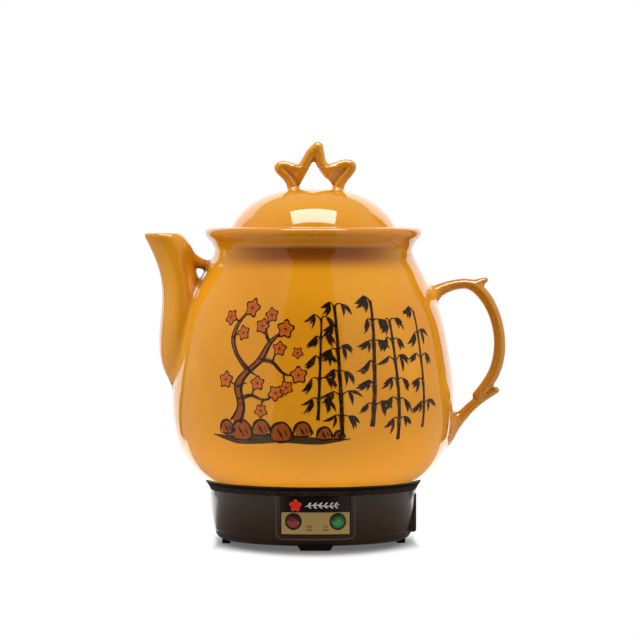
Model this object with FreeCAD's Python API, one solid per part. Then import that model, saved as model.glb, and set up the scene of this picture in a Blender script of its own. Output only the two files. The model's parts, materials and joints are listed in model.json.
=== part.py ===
import FreeCAD, Part
import math
import os
from FreeCAD import Vector

# Electric pot for decocting herbs: a ceramic pot with spout and branch handle, standing in a
# plastic base with a heater, two lamps and a power inlet, and covered by a lift-off lid.
# Millimetres. +Z is up, the origin is on the pot's axis at floor level, the handle points
# along +X, the spout along -X and the lamp panel faces -Y.

# ---- pot ------------------------------------------------------------------------------
pot_wall = 5.0
pot_floor_height = 34.0       # underside of the pot above the floor
pot_floor_radius = 44.0       # flat patch that stands on the heating plate
heel_radius = 82.2            # where the side turns under
heel_height = 48.9
belly_radius = 105.5
belly_height = 109.0
shoulder_radius = 82.7
shoulder_height = 200.0
neck_radius = 74.0
neck_height = 219.5
rim_radius = 81.2
rim_top_height = 236.2
rim_roll = 4.6                # rim's rounded lip, measured down from its top
rim_inner_radius = 73.6       # recess that takes the lid's flange
ledge_depth = 4.8             # how far the lid's ledge lies below the rim's top
strainer_hole_radius = 2.2
strainer_pitch = 8.0
strainer_height = 150.0
strainer_rows = 3
strainer_columns = 3

# ---- spout ----------------------------------------------------------------------------
spout_wall = 3.6
spout_mouth_height = 231.7
spout_mouth_stand = 24.6      # mouth's inner edge, out from the pot's neck
spout_mouth_length = 14.2     # half lengths of the mouth
spout_mouth_width = 13.0
spout_waist_height = 196.0
spout_waist_stand = 8.8       # outer edge at the waist, out from the belly
spout_root_stand = 10.2       # outer edge at the widest, low on the spout, out from the belly
spout_root_height = 154.0
spout_root_width = 27.5       # half width at the root
spout_toe_height = 113.0
spout_toe_tuck = 12.2         # how far the outer edge draws in at the toe
spout_sections = 12
spout_mouth_lean = 10.0       # how far its inner edge draws in below the mouth

bridge_height = 210.4         # strut between spout and neck
bridge_depth = 7.2
bridge_width = 8.0
bridge_saddle = 8.5           # lowest point of its top, out from the neck
bridge_arm_reach = 15.0       # where its arm meets the spout
bridge_arm_rise = 6.5
bridge_root_rise = 1.5

# ---- handle ---------------------------------------------------------------------------
handle_rod_radius = 4.5       # half thickness seen from the side
handle_depth_ratio = 1.2      # a little wider across than thick
handle_top_height = 193.8
handle_reach = 139.9          # rod's middle at its farthest from the axis
handle_grip_height = 149.0
handle_overlap_reach = 15.9   # where the upper branch ends on the lower one, in from the reach
handle_overlap_height = 108.0
handle_root_radius = 9.0
handle_lower_height = 80.0
handle_top_sink = 12.3        # how far the upper root lies below the top run
handle_root_sink = 8.5        # how deep the lower root runs into the belly
stub_length = 14.6            # twig that stands out past the overlap
stub_rise = 5.4
thorn_place = 8.5             # thorn's tip, in from the reach
thorn_rise = 3.8

# ---- lid ------------------------------------------------------------------------------
lid_gap = 0.6                 # all round, between flange and rim
lid_seat_gap = 0.3            # glaze-to-glaze slack under the flange
lid_wall = 5.0
lid_flange_thickness = 3.4
lid_foot_radius = 61.6        # where the dome rises out of the rim
lid_dome_height = 265.6
lid_skirt_radius = 66.2       # locating ring inside the neck
lid_skirt_thickness = 4.6
lid_skirt_depth = 9.5
lid_vent_radius = 2.2
lid_vent_place = 42.0

knob_bar_radius = 4.1
knob_peak_height = 296.7
knob_peak_offset = 2.4
knob_tip_height = 283.8
knob_tip_reach = 27.4
knob_valley_height = 279.2
knob_valley_reach = 10.6
knob_root_reach = 18.4
knob_foot_reach = 14.6
knob_web_thickness = 4.6
knob_sink = 6.0               # how deep the bars run into the dome before they are trimmed
knob_hip_reach = 4.6          # bend in the right leg of the fork
knob_hip_height = 287.0

# ---- base -----------------------------------------------------------------------------
foot_height = 3.5
foot_length = 26.2
foot_chamfer = 2.4
foot_thickness = 6.0
foot_plug_radius = 1.6
foot_inset = 0.3              # foot's outer face, in from the underside's edge
housing_radius = 77.2
housing_top_height = 40.5
housing_wall = 2.6
housing_foot_radius = 68.8    # flat underside's edge
housing_tuck = 73.6           # radius just above the bottom round
housing_tuck_height = 10.8
collar_top_height = 47.9
collar_foot_step = 1.2        # collar's foot stands this far outside the housing
collar_foot_height = 2.4
collar_flare = 0.62           # outward slope of its side
collar_spigot_depth = 3.0
collar_spigot_thickness = 2.0
fit_gap = 0.3
seal_depth = 1.6
seal_width = 6.0
seal_inset = 2.2              # bead's outer edge inside the pot's heel
seal_reach = 9.0              # lowest point of the bead below the heel

cover_radius = 60.6
cover_thickness = 2.5
cover_ledge = 3.0
post_radius = 4.2
post_place = 55.0
post_angles = (90.0, 210.0, 330.0)
screw_radius = 1.5
screw_head_radius = 3.0
screw_head_height = 1.8
screw_slot_width = 0.8

# ---- lamp panel -----------------------------------------------------------------------
panel_width = 51.0
panel_bottom_height = 12.2
panel_top_height = 40.0
panel_thickness = 0.8
bezel_border = 3.6
bezel_radius = 78.6
bezel_corner = 5.0
plate_sink = 0.5              # plate's face below the bezel's face
lens_radius = 5.1
lens_angle = 12.0
lens_height = 22.2
lens_dome = 1.2
lens_flange = 1.2
lens_tube_length = 13.0
lens_tube_wall = 1.0
lamp_radius = 3.7
lamp_length = 12.0
lamp_wire_length = 3.0
lamp_wire_radius = 0.5

# ---- heater ---------------------------------------------------------------------------
plate_radius = 42.0
plate_thickness = 5.5
element_ring_radius = 29.0
element_radius = 3.2
element_gap_angle = 40.0      # open part of the ring, at the back
element_leg_bottom = 13.0
element_pin_radius = 1.2
element_pin_length = 4.0
pad_inner_radius = 15.0
pad_inset = 1.0               # pad's edge, in from the plate's edge
shield_wall = 0.8
shield_floor_height = 19.0
shield_radius = 44.8
shield_rim_height = 31.2
shield_flange_radius = 48.5
lug_radius = 5.0
thermostat_radius = 8.0
thermostat_body_radius = 9.2
thermostat_body_bottom = 13.0
thermostat_step_height = 22.0
tab_length = 6.0
tab_width = 4.8
tab_thickness = 0.8
strap_thickness = 1.0
strap_width = 8.0
strap_half_length = 19.0
strap_slack = 0.4             # between the thermostat's body and the strap's legs
fuse_radius = 2.1
fuse_length = 12.0
fuse_place = 27.0
terminal_length = 30.0
terminal_width = 14.0
terminal_height = 9.0
terminal_place = -29.0         # middle of the terminal block along X
terminal_row = 24.0            # and along Y
terminal_screw_radius = 1.9
terminal_screw_gap = 0.2
terminal_screw_sink = 0.6      # screw's head below the block's top
terminal_slot_depth = 0.8
terminal_count = 3

# ---- power inlet ----------------------------------------------------------------------
inlet_face = 76.5
inlet_width = 32.0
inlet_bottom_height = 8.8
inlet_depth = 18.5
inlet_front_depth = 8.0       # full-height front part of the inlet
inlet_wall = 1.8
inlet_corner = 2.2
socket_width = 26.0
socket_height = 14.0
socket_depth = 14.0
pin_radius = 2.4
pin_pitch = 15.0
pin_length = 11.5
pin_tail = 6.0
pin_shank_radius = 1.9        # thinner part that is moulded in
ear_width = 7.0
ear_thickness = 2.4
ear_height = 10.0

# ---- modelling aids -------------------------------------------------------------------
cut_past = 1.0                # how far a cutting tool runs past the face that it opens
pick_reach = 1.0              # how near to a face an edge lies that is picked for a fillet

up = Vector(0, 0, 1)
centre = Vector(0, 0, 0)


def at(x, z, y=0.0):
    return Vector(x, y, z)


def line(a, b):
    return Part.makeLine(a, b)


def smooth(points, start=None, end=None):
    """One spline through the points, with its end directions where they are given."""
    curve = Part.BSplineCurve()
    if start is None:
        curve.interpolate(Points=points)
    else:
        curve.interpolate(Points=points, InitialTangent=start, FinalTangent=end)
    return curve.toShape()


def polygon(points):
    return Part.makePolygon(list(points) + [points[0]])


def turned(edges):
    """Revolve a closed outline, drawn in the XZ plane, about the pot's axis."""
    return Part.Face(Part.Wire(edges)).revolve(centre, up, 360)


def turned_polygon(points):
    return Part.Face(polygon([at(r, z) for r, z in points])).revolve(centre, up, 360)


def disc(radius, bottom, top, place=centre):
    return Part.makeCylinder(radius, top - bottom, Vector(place.x, place.y, bottom))


def tube(outer, inner, bottom, top):
    return disc(outer, bottom, top).cut(disc(inner, bottom, top))


def block(x0, x1, y0, y1, z0, z1):
    return Part.makeBox(x1 - x0, y1 - y0, z1 - z0, Vector(x0, y0, z0))


def polar(radius, angle, z=0.0):
    turn = math.radians(angle)
    return Vector(radius * math.cos(turn), radius * math.sin(turn), z)


def mix(a, b, share):
    return a + (b - a) * share


def joined(shapes):
    return shapes[0].multiFuse(shapes[1:]).removeSplitter() if len(shapes) > 1 else shapes[0]


def group(shapes):
    return Part.makeCompound(shapes)


def oval(middle, across, half_across, half_deep):
    """Closed smooth section in the plane of 'across' and Y."""
    count = 12
    points = []
    for i in range(count):
        turn = 2 * math.pi * i / count
        offset = across * (half_across * math.cos(turn))
        points.append(middle + offset + Vector(0, half_deep * math.sin(turn), 0))
    curve = Part.BSplineCurve()
    curve.interpolate(Points=points, PeriodicFlag=True)
    return Part.Wire(curve.toShape())


def limb(stations, sections, depth_ratio):
    """Branch along a smooth line in the XZ plane; each station is (x, z, half thickness)."""
    path = smooth([at(x, z) for x, z, thick in stations]).Curve
    first, last = path.FirstParameter, path.LastParameter
    knots = [path.parameter(at(x, z)) for x, z, thick in stations]
    wires = []
    for i in range(sections):
        along = mix(first, last, i / (sections - 1))
        k = max(j for j in range(len(knots) - 1) if knots[j] <= along + 1e-9 or j == 0)
        share = (along - knots[k]) / (knots[k + 1] - knots[k])
        thick = mix(stations[k][2], stations[k + 1][2], share)
        heading = path.tangent(along)[0]
        across = Vector(heading.z, 0, -heading.x)
        wires.append(oval(path.value(along), across, thick, thick * depth_ratio))
    return Part.makeLoft(wires, True)


def rod(points, radius):
    """Round bar through the points, with round ends and corners."""
    pieces = [Part.makeSphere(radius, p) for p in points]
    for a, b in zip(points, points[1:]):
        pieces.append(Part.makeCylinder(radius, (b - a).Length, a, b - a))
    return joined(pieces)


# ---- pot ------------------------------------------------------------------------------

def bulge(a, heading, b):
    """Middle of the arc that leaves a along its heading and ends at b."""
    half = (b - a) * 0.5
    turn = half.getAngle(heading)
    side = heading - half * (heading.dot(half) / half.dot(half))
    if side.Length < 1e-9:
        return a + half
    return a + half + side.normalize() * (half.Length * math.tan(turn / 2))


def arc_pair(a, heading_a, b, heading_b):
    """Corner points of two tangent arcs from a to b, each as (start, middle, end)."""
    span = b - a
    total = heading_a + heading_b
    spread = 2 * (1 - heading_a.dot(heading_b))
    if spread < 1e-6:
        reach = span.dot(span) / (4 * span.dot(heading_b))
    else:
        reach = (-span.dot(total) + math.sqrt(span.dot(total) ** 2 + spread * span.dot(span))) / spread
    joint = (a + heading_a * reach + b - heading_b * reach) * 0.5
    back = bulge(b, -heading_b, joint)
    return [(a, bulge(a, heading_a, joint), joint), (joint, back, b)]


def arc_chain(points, start, end):
    """Smooth outline through the points as tangent arcs; headings come from a spline through them."""
    curve = smooth(points, start, end).Curve
    headings = [curve.tangent(curve.parameter(p))[0] for p in points]
    arcs = []
    for i in range(len(points) - 1):
        arcs += arc_pair(points[i], headings[i], points[i + 1], headings[i + 1])
    return arcs


def moved_in(arcs, wall):
    """The same arcs, moved inwards by a wall thickness."""
    moved = []
    for a, middle, b in arcs:
        core = Part.Arc(a, middle, b).toShape().Curve.Center
        inward = Vector(a.z - b.z, 0, b.x - a.x)
        step = wall if (core - middle).dot(inward) > 0 else -wall
        moved.append(tuple(p + (core - p).normalize() * step for p in (a, middle, b)))
    return moved


def arc_edges(arcs):
    return [Part.Arc(*three).toShape() for three in arcs]


def pot_side():
    """The pot's side line from its floor to its neck."""
    def rise(share):
        return mix(heel_height, belly_height, share)

    def fall(share):
        return mix(belly_height, shoulder_height, share)

    heel_span = heel_radius - pot_floor_radius
    heel_rise = heel_height - pot_floor_height
    belly_span = belly_radius - heel_radius
    top_span = belly_radius - shoulder_radius
    outline = [
        (pot_floor_radius, pot_floor_height),
        (pot_floor_radius + 0.6 * heel_span, pot_floor_height + 0.45 * heel_rise),
        (heel_radius, heel_height),
        (heel_radius + 0.505 * belly_span, rise(0.216)),
        (belly_radius, belly_height),
        (belly_radius - 0.175 * top_span, fall(0.39)),
        (belly_radius - 0.555 * top_span, fall(0.768)),
        (shoulder_radius, shoulder_height),
        (mix(neck_radius, shoulder_radius, 0.45), mix(neck_height, shoulder_height, 0.51)),
        (mix(neck_radius, shoulder_radius, 0.15), mix(neck_height, shoulder_height, 0.24)),
        (neck_radius, neck_height),
    ]
    return arc_chain([at(r, z) for r, z in outline], at(1, 0.1), at(0, 1))


def pot_outer():
    rim_side = rim_top_height - rim_roll
    lip = arc_chain([
        at(neck_radius, neck_height),
        at(mix(neck_radius, rim_radius, 0.45), mix(neck_height, rim_side, 0.5)),
        at(rim_radius, rim_side),
        at(mix(rim_radius, rim_inner_radius, 0.6), rim_top_height),
    ], at(0, 1), at(-1, 0))
    edges = arc_edges(pot_side() + lip)
    floor, top = at(0, pot_floor_height), at(0, rim_top_height)
    edges += [line(floor, at(pot_floor_radius, pot_floor_height)), line(lip[-1][2], top), line(top, floor)]
    return turned(Part.__sortEdges__(edges))


def pot_cavity():
    side = moved_in(pot_side(), pot_wall)
    start, top = side[0][0], side[-1][2]
    ledge = rim_top_height - ledge_depth
    neck = [top, at(top.x, ledge), at(rim_inner_radius, ledge), at(rim_inner_radius, rim_top_height + cut_past)]
    neck += [at(0, rim_top_height + cut_past), at(0, start.z), start]
    return turned(Part.__sortEdges__(arc_edges(side) + [line(a, b) for a, b in zip(neck, neck[1:])]))


def strainer():
    """Pattern of holes through the wall, from the pot into the root of the spout."""
    holes = []
    for row in range(strainer_rows):
        for column in range(strainer_columns):
            y = (column - (strainer_columns - 1) / 2) * strainer_pitch
            z = strainer_height + (row - (strainer_rows - 1) / 2) * strainer_pitch
            start = Vector(-belly_radius, y, z)
            holes.append(Part.makeCylinder(strainer_hole_radius, pot_wall * 4, start, Vector(1, 0, 0)))
    return joined(holes)


def level_reader(points):
    """Smooth line through (height, value) points, read by height."""
    curve = smooth([at(value, z) for z, value in points]).Curve

    def read(z):
        cut = Part.LineSegment(at(-4 * belly_radius, z), at(4 * belly_radius, z))
        hit = curve.intersectCC(cut)
        return hit[0].X
    return read


def spout_inner_reach():
    return neck_radius + spout_mouth_stand


def spout_form(inset):
    """Solid spout, from horizontal oval sections; an inset gives its channel."""
    seat = shoulder_radius - pot_wall
    rise = spout_mouth_height - spout_waist_height
    mouth_inner = spout_inner_reach()
    mouth_outer = mouth_inner + 2 * spout_mouth_length
    root_reach = belly_radius + spout_root_stand
    waist_reach = belly_radius + spout_waist_stand
    outer_edge = level_reader([
        (spout_toe_height, root_reach - spout_toe_tuck),
        (mix(spout_toe_height, spout_root_height, 0.44), root_reach - 0.24 * spout_toe_tuck),
        (spout_root_height, root_reach),
        (spout_waist_height, waist_reach),
        (spout_waist_height + 0.53 * rise, mix(waist_reach, mouth_outer, 0.42)),
        (spout_mouth_height, mouth_outer),
    ])
    inner_edge = level_reader([
        (spout_toe_height, seat),
        (spout_root_height, seat + 0.05 * mouth_inner),
        (spout_waist_height, seat + 0.08 * mouth_inner),
        (spout_waist_height + 0.4 * rise, mouth_inner - spout_mouth_lean),
        (spout_waist_height + 0.66 * rise, mouth_inner - 0.84 * spout_mouth_lean),
        (spout_mouth_height, mouth_inner),
    ])
    half_width = level_reader([
        (spout_toe_height, 0.3 * spout_root_width),
        (mix(spout_toe_height, spout_root_height, 0.44), 0.78 * spout_root_width),
        (spout_root_height, spout_root_width),
        (spout_waist_height, mix(spout_root_width, spout_mouth_width, 0.5)),
        (spout_waist_height + 0.55 * rise, mix(spout_root_width, spout_mouth_width, 0.86)),
        (spout_mouth_height, spout_mouth_width),
    ])
    wires = []
    first = 2 if inset else 0
    for i in range(first, spout_sections):
        z = mix(spout_toe_height, spout_mouth_height, i / (spout_sections - 1))
        outer, inner = outer_edge(z), inner_edge(z)
        middle = at(-(outer + inner) / 2, z)
        wires.append(oval(middle, Vector(1, 0, 0), (outer - inner) / 2 - inset, half_width(z) - inset))
    return Part.makeLoft(wires, True)


def make_pot(outer):
    return outer.cut(pot_cavity()).cut(strainer())


def make_spout(outer):
    shape = spout_form(0).cut(spout_form(spout_wall)).cut(outer)
    return max(shape.Solids, key=lambda solid: solid.Volume)


def make_bridge(outer):
    spout_edge = spout_inner_reach()
    low, high = bridge_height - bridge_depth / 2, bridge_height + bridge_depth / 2
    profile = [
        at(-spout_edge, low), at(-neck_radius, low), at(-neck_radius, high + bridge_root_rise),
        at(-(neck_radius + bridge_saddle), high),
        at(-(neck_radius + bridge_arm_reach), high + bridge_arm_rise), at(-spout_edge, high + bridge_arm_rise),
    ]
    plate = Part.Face(polygon([p + Vector(0, -bridge_width / 2, 0) for p in profile]))
    strut = plate.extrude(Vector(0, bridge_width, 0))
    shape = strut.cut(spout_form(0)).cut(outer)
    return max(shape.Solids, key=lambda solid: solid.Volume)


def make_handle(outer):
    """Two branches: a bow that ends on a lower one, which runs on as a short twig; and a thorn on top."""
    r = handle_rod_radius
    crown = handle_top_height
    grip_drop = handle_grip_height - handle_overlap_height
    over = handle_reach - handle_overlap_reach

    def out(share):
        return mix(shoulder_radius, handle_reach, share)

    bow = limb([
        (out(0.02), crown - handle_top_sink, r * 1.35),
        (out(0.20), crown - 0.41 * handle_top_sink, r * 1.12),
        (out(0.42), crown - 0.05 * handle_top_sink, r * 0.9),
        (out(0.60), crown - 0.03 * handle_top_sink, r * 0.95),
        (out(0.755), crown - 0.49 * handle_top_sink, r * 1.05),
        (out(0.905), mix(crown, handle_grip_height, 0.43), r),
        (handle_reach, handle_grip_height, r),
        (mix(over, handle_reach, 0.71), handle_grip_height - 0.56 * grip_drop, r),
        (over, handle_overlap_height, r),
    ], 18, handle_depth_ratio)
    stub_reach = over + stub_length
    root = mix(over, belly_radius, 0.95)
    branch = limb([
        (stub_reach, handle_overlap_height + stub_rise, r * 0.52),
        (mix(stub_reach, over, 0.52), handle_overlap_height + 0.11 * stub_rise, r * 0.78),
        (over - 0.1 * r, handle_overlap_height - 1.1 * r, r),
        (mix(over, root, 0.54), mix(handle_overlap_height, handle_lower_height, 0.47), r * 1.06),
        (root, mix(handle_overlap_height, handle_lower_height, 0.78), mix(r, handle_root_radius, 0.4)),
        (belly_radius - handle_root_sink, handle_lower_height - 0.28 * handle_root_sink, handle_root_radius),
    ], 12, handle_depth_ratio)
    tip = handle_reach - thorn_place
    thorn = limb([
        (out(0.65), crown - 0.08 * handle_top_sink, r * 0.7),
        (mix(out(0.65), tip, 0.56), crown + 0.47 * thorn_rise, r * 0.62),
        (tip, crown + thorn_rise, r * 0.28),
    ], 5, handle_depth_ratio)
    shape = joined([bow, branch, thorn]).cut(outer)
    return max(shape.Solids, key=lambda solid: solid.Volume)


# ---- lid ------------------------------------------------------------------------------

def lid_levels():
    """Heights of the flange's underside and top."""
    low = rim_top_height - ledge_depth + lid_seat_gap
    return low, low + lid_flange_thickness


def dome_line(inset):
    low, high = lid_levels()
    rise = lid_dome_height - high
    radius = lid_foot_radius - inset
    shares = [(1.0, 0.0), (0.975, 0.16), (0.905, 0.34), (0.815, 0.52), (0.68, 0.71), (0.52, 0.86),
              (0.28, 0.965)]
    points = [at(radius * r, high + (rise - inset) * z) for r, z in shares]
    points.append(at(0, lid_dome_height - inset))
    return smooth(points, at(0, 1), at(-1, 0))


def lid_dome(inset):
    low, high = lid_levels()
    line_up = dome_line(inset)
    start, top = line_up.Vertexes[0].Point, line_up.Vertexes[-1].Point
    return turned([line(at(0, start.z), start), line_up, line(top, at(0, start.z))])


def make_lid():
    low, high = lid_levels()
    flange_radius = rim_inner_radius - lid_gap
    flange = disc(flange_radius, low, high)
    flange = flange.makeFillet(lid_flange_thickness * 0.4, [flange.Edges[0]])
    skirt_inner = lid_skirt_radius - lid_skirt_thickness
    skirt = tube(lid_skirt_radius, skirt_inner, low - lid_skirt_depth, high)
    body = joined([flange, skirt, lid_dome(0)])
    hollow = joined([lid_dome(lid_wall), disc(lid_foot_radius - lid_wall, low - cut_past, high)])
    vent = Part.makeCylinder(lid_vent_radius, lid_dome_height, at(0, low, lid_vent_place))
    return body.cut(hollow).cut(vent)


def make_knob():
    """Branch bent into a crown: a tall middle fork and a webbed prong on each side."""
    r = knob_bar_radius
    root_height = lid_dome_height - knob_sink
    peak = at(knob_peak_offset, knob_peak_height)
    pieces = []
    for side in (-1, 1):
        foot = at(side * knob_foot_reach, root_height)
        root = at(side * knob_root_reach, root_height)
        tip = at(side * knob_tip_reach, knob_tip_height)
        valley = at(side * knob_valley_reach, knob_valley_height)
        knee = at(side * knob_foot_reach, mix(lid_dome_height, knob_valley_height, 0.45))
        bends = [at(knob_hip_reach, knob_hip_height)] if side > 0 else []
        pieces += [rod([peak] + bends + [valley, knee, foot], r), rod([valley, tip, root], r)]
        web = Part.Face(polygon([p + Vector(0, -knob_web_thickness / 2, 0) for p in (root, tip, valley, knee)]))
        pieces.append(web.extrude(Vector(0, knob_web_thickness, 0)))
    shape = joined(pieces).cut(joined([lid_dome(0), disc(lid_foot_radius, 0, lid_levels()[1])]))
    return max(shape.Solids, key=lambda solid: solid.Volume)


# ---- base -----------------------------------------------------------------------------

def arc(a, b, c):
    return Part.Arc(a, b, c).toShape()


def housing_wall_line(inset):
    """Side line of the base, from its flat underside to its top, moved inwards by an inset."""
    start = at(housing_foot_radius - inset, foot_height + inset)
    tuck = at(housing_tuck - inset, housing_tuck_height + inset / 2)
    top = at(housing_radius - inset, housing_top_height)
    turn = at(mix(start.x, tuck.x, 0.72), mix(start.z, tuck.z, 0.34))
    bulge = at(mix(tuck.x, top.x, 0.72), mix(tuck.z, top.z, 0.45))
    return start, tuck, top, [arc(start, turn, tuck), arc(tuck, bulge, top)]


def housing_shell():
    """Side wall and bottom ring in one turned outline."""
    start, tuck, top, outside = housing_wall_line(0)
    start_in, tuck_in, top_in, inside = housing_wall_line(housing_wall)
    ring = cover_radius + fit_gap
    step = foot_height + cover_thickness
    ledge = cover_radius - cover_ledge
    corners = [start, at(ring, foot_height), at(ring, step), at(ledge, step), at(ledge, step + housing_wall),
               at(start_in.x, step + housing_wall)]
    low = at(start_in.x, step + housing_wall)
    turn = at(mix(low.x, tuck_in.x, 0.72), mix(low.z, tuck_in.z, 0.34))
    edges = [line(a, b) for a, b in zip(corners, corners[1:])]
    edges += [arc(low, turn, tuck_in), inside[1], line(top_in, top)] + outside
    return turned(Part.__sortEdges__(edges))


def housing_solid():
    """Everything inside the base's outer surface."""
    start, tuck, top, outside = housing_wall_line(0)
    floor, lid = at(0, foot_height), at(0, housing_top_height)
    return turned(Part.__sortEdges__([line(floor, start), line(top, lid), line(lid, floor)] + outside))


def panel_prism(border, bottom, top, corner):
    """Upright prism with the panel's outline, running along Y through the front wall."""
    half = panel_width / 2 + border
    prism = block(-half, half, -2 * housing_radius, 0, bottom, top)
    if not corner:
        return prism
    lower = [e for e in prism.Edges
             if e.BoundBox.YLength > housing_radius and e.BoundBox.ZMax < mix(bottom, top, 0.5)]
    return prism.makeFillet(corner, lower)


def lens_frame(shape, side):
    """Turn a shape that was made along -Y to the place of the left (-1) or right (+1) lens."""
    placed = shape.copy()
    placed.rotate(centre, up, side * lens_angle)
    return placed


def plate_face():
    return bezel_radius - plate_sink


def lens_bore(radius):
    return Part.makeCylinder(radius, bezel_radius, Vector(0, 0, lens_height), Vector(0, -1, 0))


def inlet_top():
    return housing_top_height - collar_spigot_depth - fit_gap


def inlet_middle():
    return mix(inlet_bottom_height, inlet_top(), 0.5)


def inlet_front(gap):
    """Front part of the inlet, which fills its opening in the housing."""
    half = inlet_width / 2 + gap
    return block(inlet_face - inlet_front_depth - gap, inlet_face + gap, -half, half,
                 inlet_bottom_height - gap, inlet_top() + gap)


def inlet_back():
    """Lower and narrower body behind it, round the socket."""
    half = socket_width / 2 + inlet_wall
    tall = socket_height / 2 + inlet_wall
    return block(inlet_face - inlet_depth, inlet_face - inlet_front_depth, -half, half,
                 inlet_middle() - tall, inlet_middle() + tall)


def ear_place(side):
    """Middle of an inlet ear along Y."""
    return side * (inlet_width + ear_width) / 2


def ear_front():
    return inlet_face - inlet_front_depth


def make_housing():
    step = foot_height + cover_thickness
    shell = housing_shell()
    start, tuck, top, inside_line = housing_wall_line(housing_wall)
    hollow = turned(Part.__sortEdges__([line(at(0, start.z), start), line(top, at(0, top.z)),
                                        line(at(0, top.z), at(0, start.z))] + inside_line))
    frame = panel_prism(bezel_border, panel_bottom_height - bezel_border, housing_top_height, bezel_corner)
    bezel = disc(bezel_radius, foot_height, housing_top_height).common(frame).cut(hollow)
    extras = []
    for angle in post_angles:
        extras.append(disc(post_radius, step, shield_seat(), polar(post_place, angle)))
        rib = block(post_place, housing_tuck, -housing_wall / 2, housing_wall / 2,
                    step, mix(step, shield_seat(), 0.8))
        rib.rotate(centre, up, angle)
        extras.append(rib)
    for side in (-1, 1):
        y = ear_place(side)
        extras.append(block(ear_front(), housing_radius, y - ear_width / 2, y + ear_width / 2, *ear_levels()))
    inside = joined(extras).common(housing_solid())
    body = joined([shell, inside, bezel])
    cuts = [plate_recess(), inlet_front(fit_gap)]
    cuts += [lens_frame(lens_bore(lens_radius + fit_gap), side) for side in (-1, 1)]
    cuts += lens_pockets() + post_holes() + ear_holes() + foot_holes()
    for tool in cuts:
        body = body.cut(tool)
    return body


def lens_pockets():
    """Flat seats on the inside, so that the lens flanges lie square."""
    start = plate_face() - panel_thickness - housing_wall
    pocket = Part.makeCylinder(lens_radius + lens_flange + fit_gap, start - post_place / 2,
                               Vector(0, -post_place / 2, lens_height), Vector(0, -1, 0))
    return [lens_frame(pocket, side) for side in (-1, 1)]


def plate_recess():
    inner = plate_face() - panel_thickness - fit_gap
    top = housing_top_height + cut_past
    ring = tube(2 * bezel_radius, inner, foot_height, top)
    return ring.common(panel_prism(fit_gap, panel_bottom_height - fit_gap, top, 0))


def post_holes():
    depth = post_radius * 2
    bottom = foot_height + cover_thickness
    holes = []
    for angle in post_angles:
        place = polar(post_place, angle)
        holes.append(disc(screw_radius, bottom, bottom + depth, place))
        holes.append(disc(screw_radius, shield_seat() - depth, shield_seat(), place))
    return holes


def ear_levels():
    return inlet_middle() - ear_height / 2, inlet_middle() + ear_height / 2


def ear_holes():
    places = [Vector(ear_front(), ear_place(side), inlet_middle()) for side in (-1, 1)]
    return [Part.makeCylinder(screw_radius, screw_radius * 2, place, Vector(1, 0, 0)) for place in places]


def foot_radius():
    return housing_foot_radius - foot_inset - foot_thickness / 2


def foot_holes():
    return [disc(foot_plug_radius, foot_height, foot_height + housing_wall, polar(foot_radius(), angle))
            for angle in (0, 90, 180, 270)]


def make_feet():
    half, narrow = foot_length / 2, foot_length / 2 - foot_chamfer
    inner, outer = foot_radius() - foot_thickness / 2, foot_radius() + foot_thickness / 2
    profile = [Vector(inner, -narrow, 0), Vector(inner, narrow, 0),
               Vector(inner, half, foot_height), Vector(inner, -half, foot_height)]
    pad = Part.Face(polygon(profile)).extrude(Vector(outer - inner, 0, 0))
    plug = disc(foot_plug_radius, foot_height, foot_height + housing_wall, Vector(foot_radius(), 0, 0))
    foot = joined([pad, plug])
    feet = []
    for angle in (0, 90, 180, 270):
        copy = foot.copy()
        copy.rotate(centre, up, angle)
        feet.append(copy)
    return group(feet)


def make_collar(outer):
    top_radius = housing_radius + (collar_top_height - housing_top_height) * collar_flare
    inner = housing_radius - housing_wall - fit_gap - collar_spigot_thickness
    spigot_bottom = housing_top_height - collar_spigot_depth
    spigot_outer = housing_radius - housing_wall - fit_gap
    profile = [
        (inner, spigot_bottom), (spigot_outer, spigot_bottom), (spigot_outer, housing_top_height),
        (housing_radius, housing_top_height),
        (housing_radius + collar_foot_step, housing_top_height + collar_foot_height),
        (top_radius, collar_top_height), (inner, collar_top_height),
    ]
    lowered = outer.copy()
    lowered.translate(Vector(0, 0, -seal_depth))
    return turned_polygon(profile).cut(lowered)


def make_seal(outer):
    """Silicone bead in the gap between pot and collar."""
    radius = heel_radius - seal_inset
    bead = tube(radius, radius - seal_width, heel_height - seal_reach, collar_top_height)
    lowered = outer.copy()
    lowered.translate(Vector(0, 0, -seal_depth))
    bead = bead.common(lowered).cut(outer)
    return max(bead.Solids, key=lambda solid: solid.Volume)


def make_cover():
    top = foot_height + cover_thickness
    plate = disc(cover_radius, foot_height, top)
    for angle in post_angles:
        place = polar(post_place, angle)
        plate = plate.cut(disc(screw_radius + fit_gap, foot_height, top, place))
        sink = disc(screw_head_radius + fit_gap, foot_height, foot_height + screw_head_height, place)
        plate = plate.cut(sink)
    return plate


def screw(length):
    """Pan-head screw pointing up, with the underside of its head at the origin."""
    head = Part.makeCylinder(screw_head_radius, screw_head_height, Vector(0, 0, -screw_head_height))
    shank = Part.makeCylinder(screw_radius, length, centre)
    slot = block(-screw_head_radius, screw_head_radius, -screw_slot_width / 2, screw_slot_width / 2,
                 -screw_head_height, -screw_head_height / 2)
    return joined([head, shank]).cut(slot)


def make_cover_screws():
    screws = []
    for angle in post_angles:
        piece = screw(cover_thickness - screw_head_height + post_radius * 1.5)
        piece.translate(polar(post_place, angle, foot_height + screw_head_height))
        screws.append(piece)
    return group(screws)


def make_panel_plate():
    face = plate_face()
    ring = tube(face, face - panel_thickness, foot_height, housing_top_height)
    plate = ring.common(panel_prism(0, panel_bottom_height, panel_top_height, 0))
    for side in (-1, 1):
        plate = plate.cut(lens_frame(lens_bore(lens_radius + fit_gap), side))
    return plate


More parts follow.
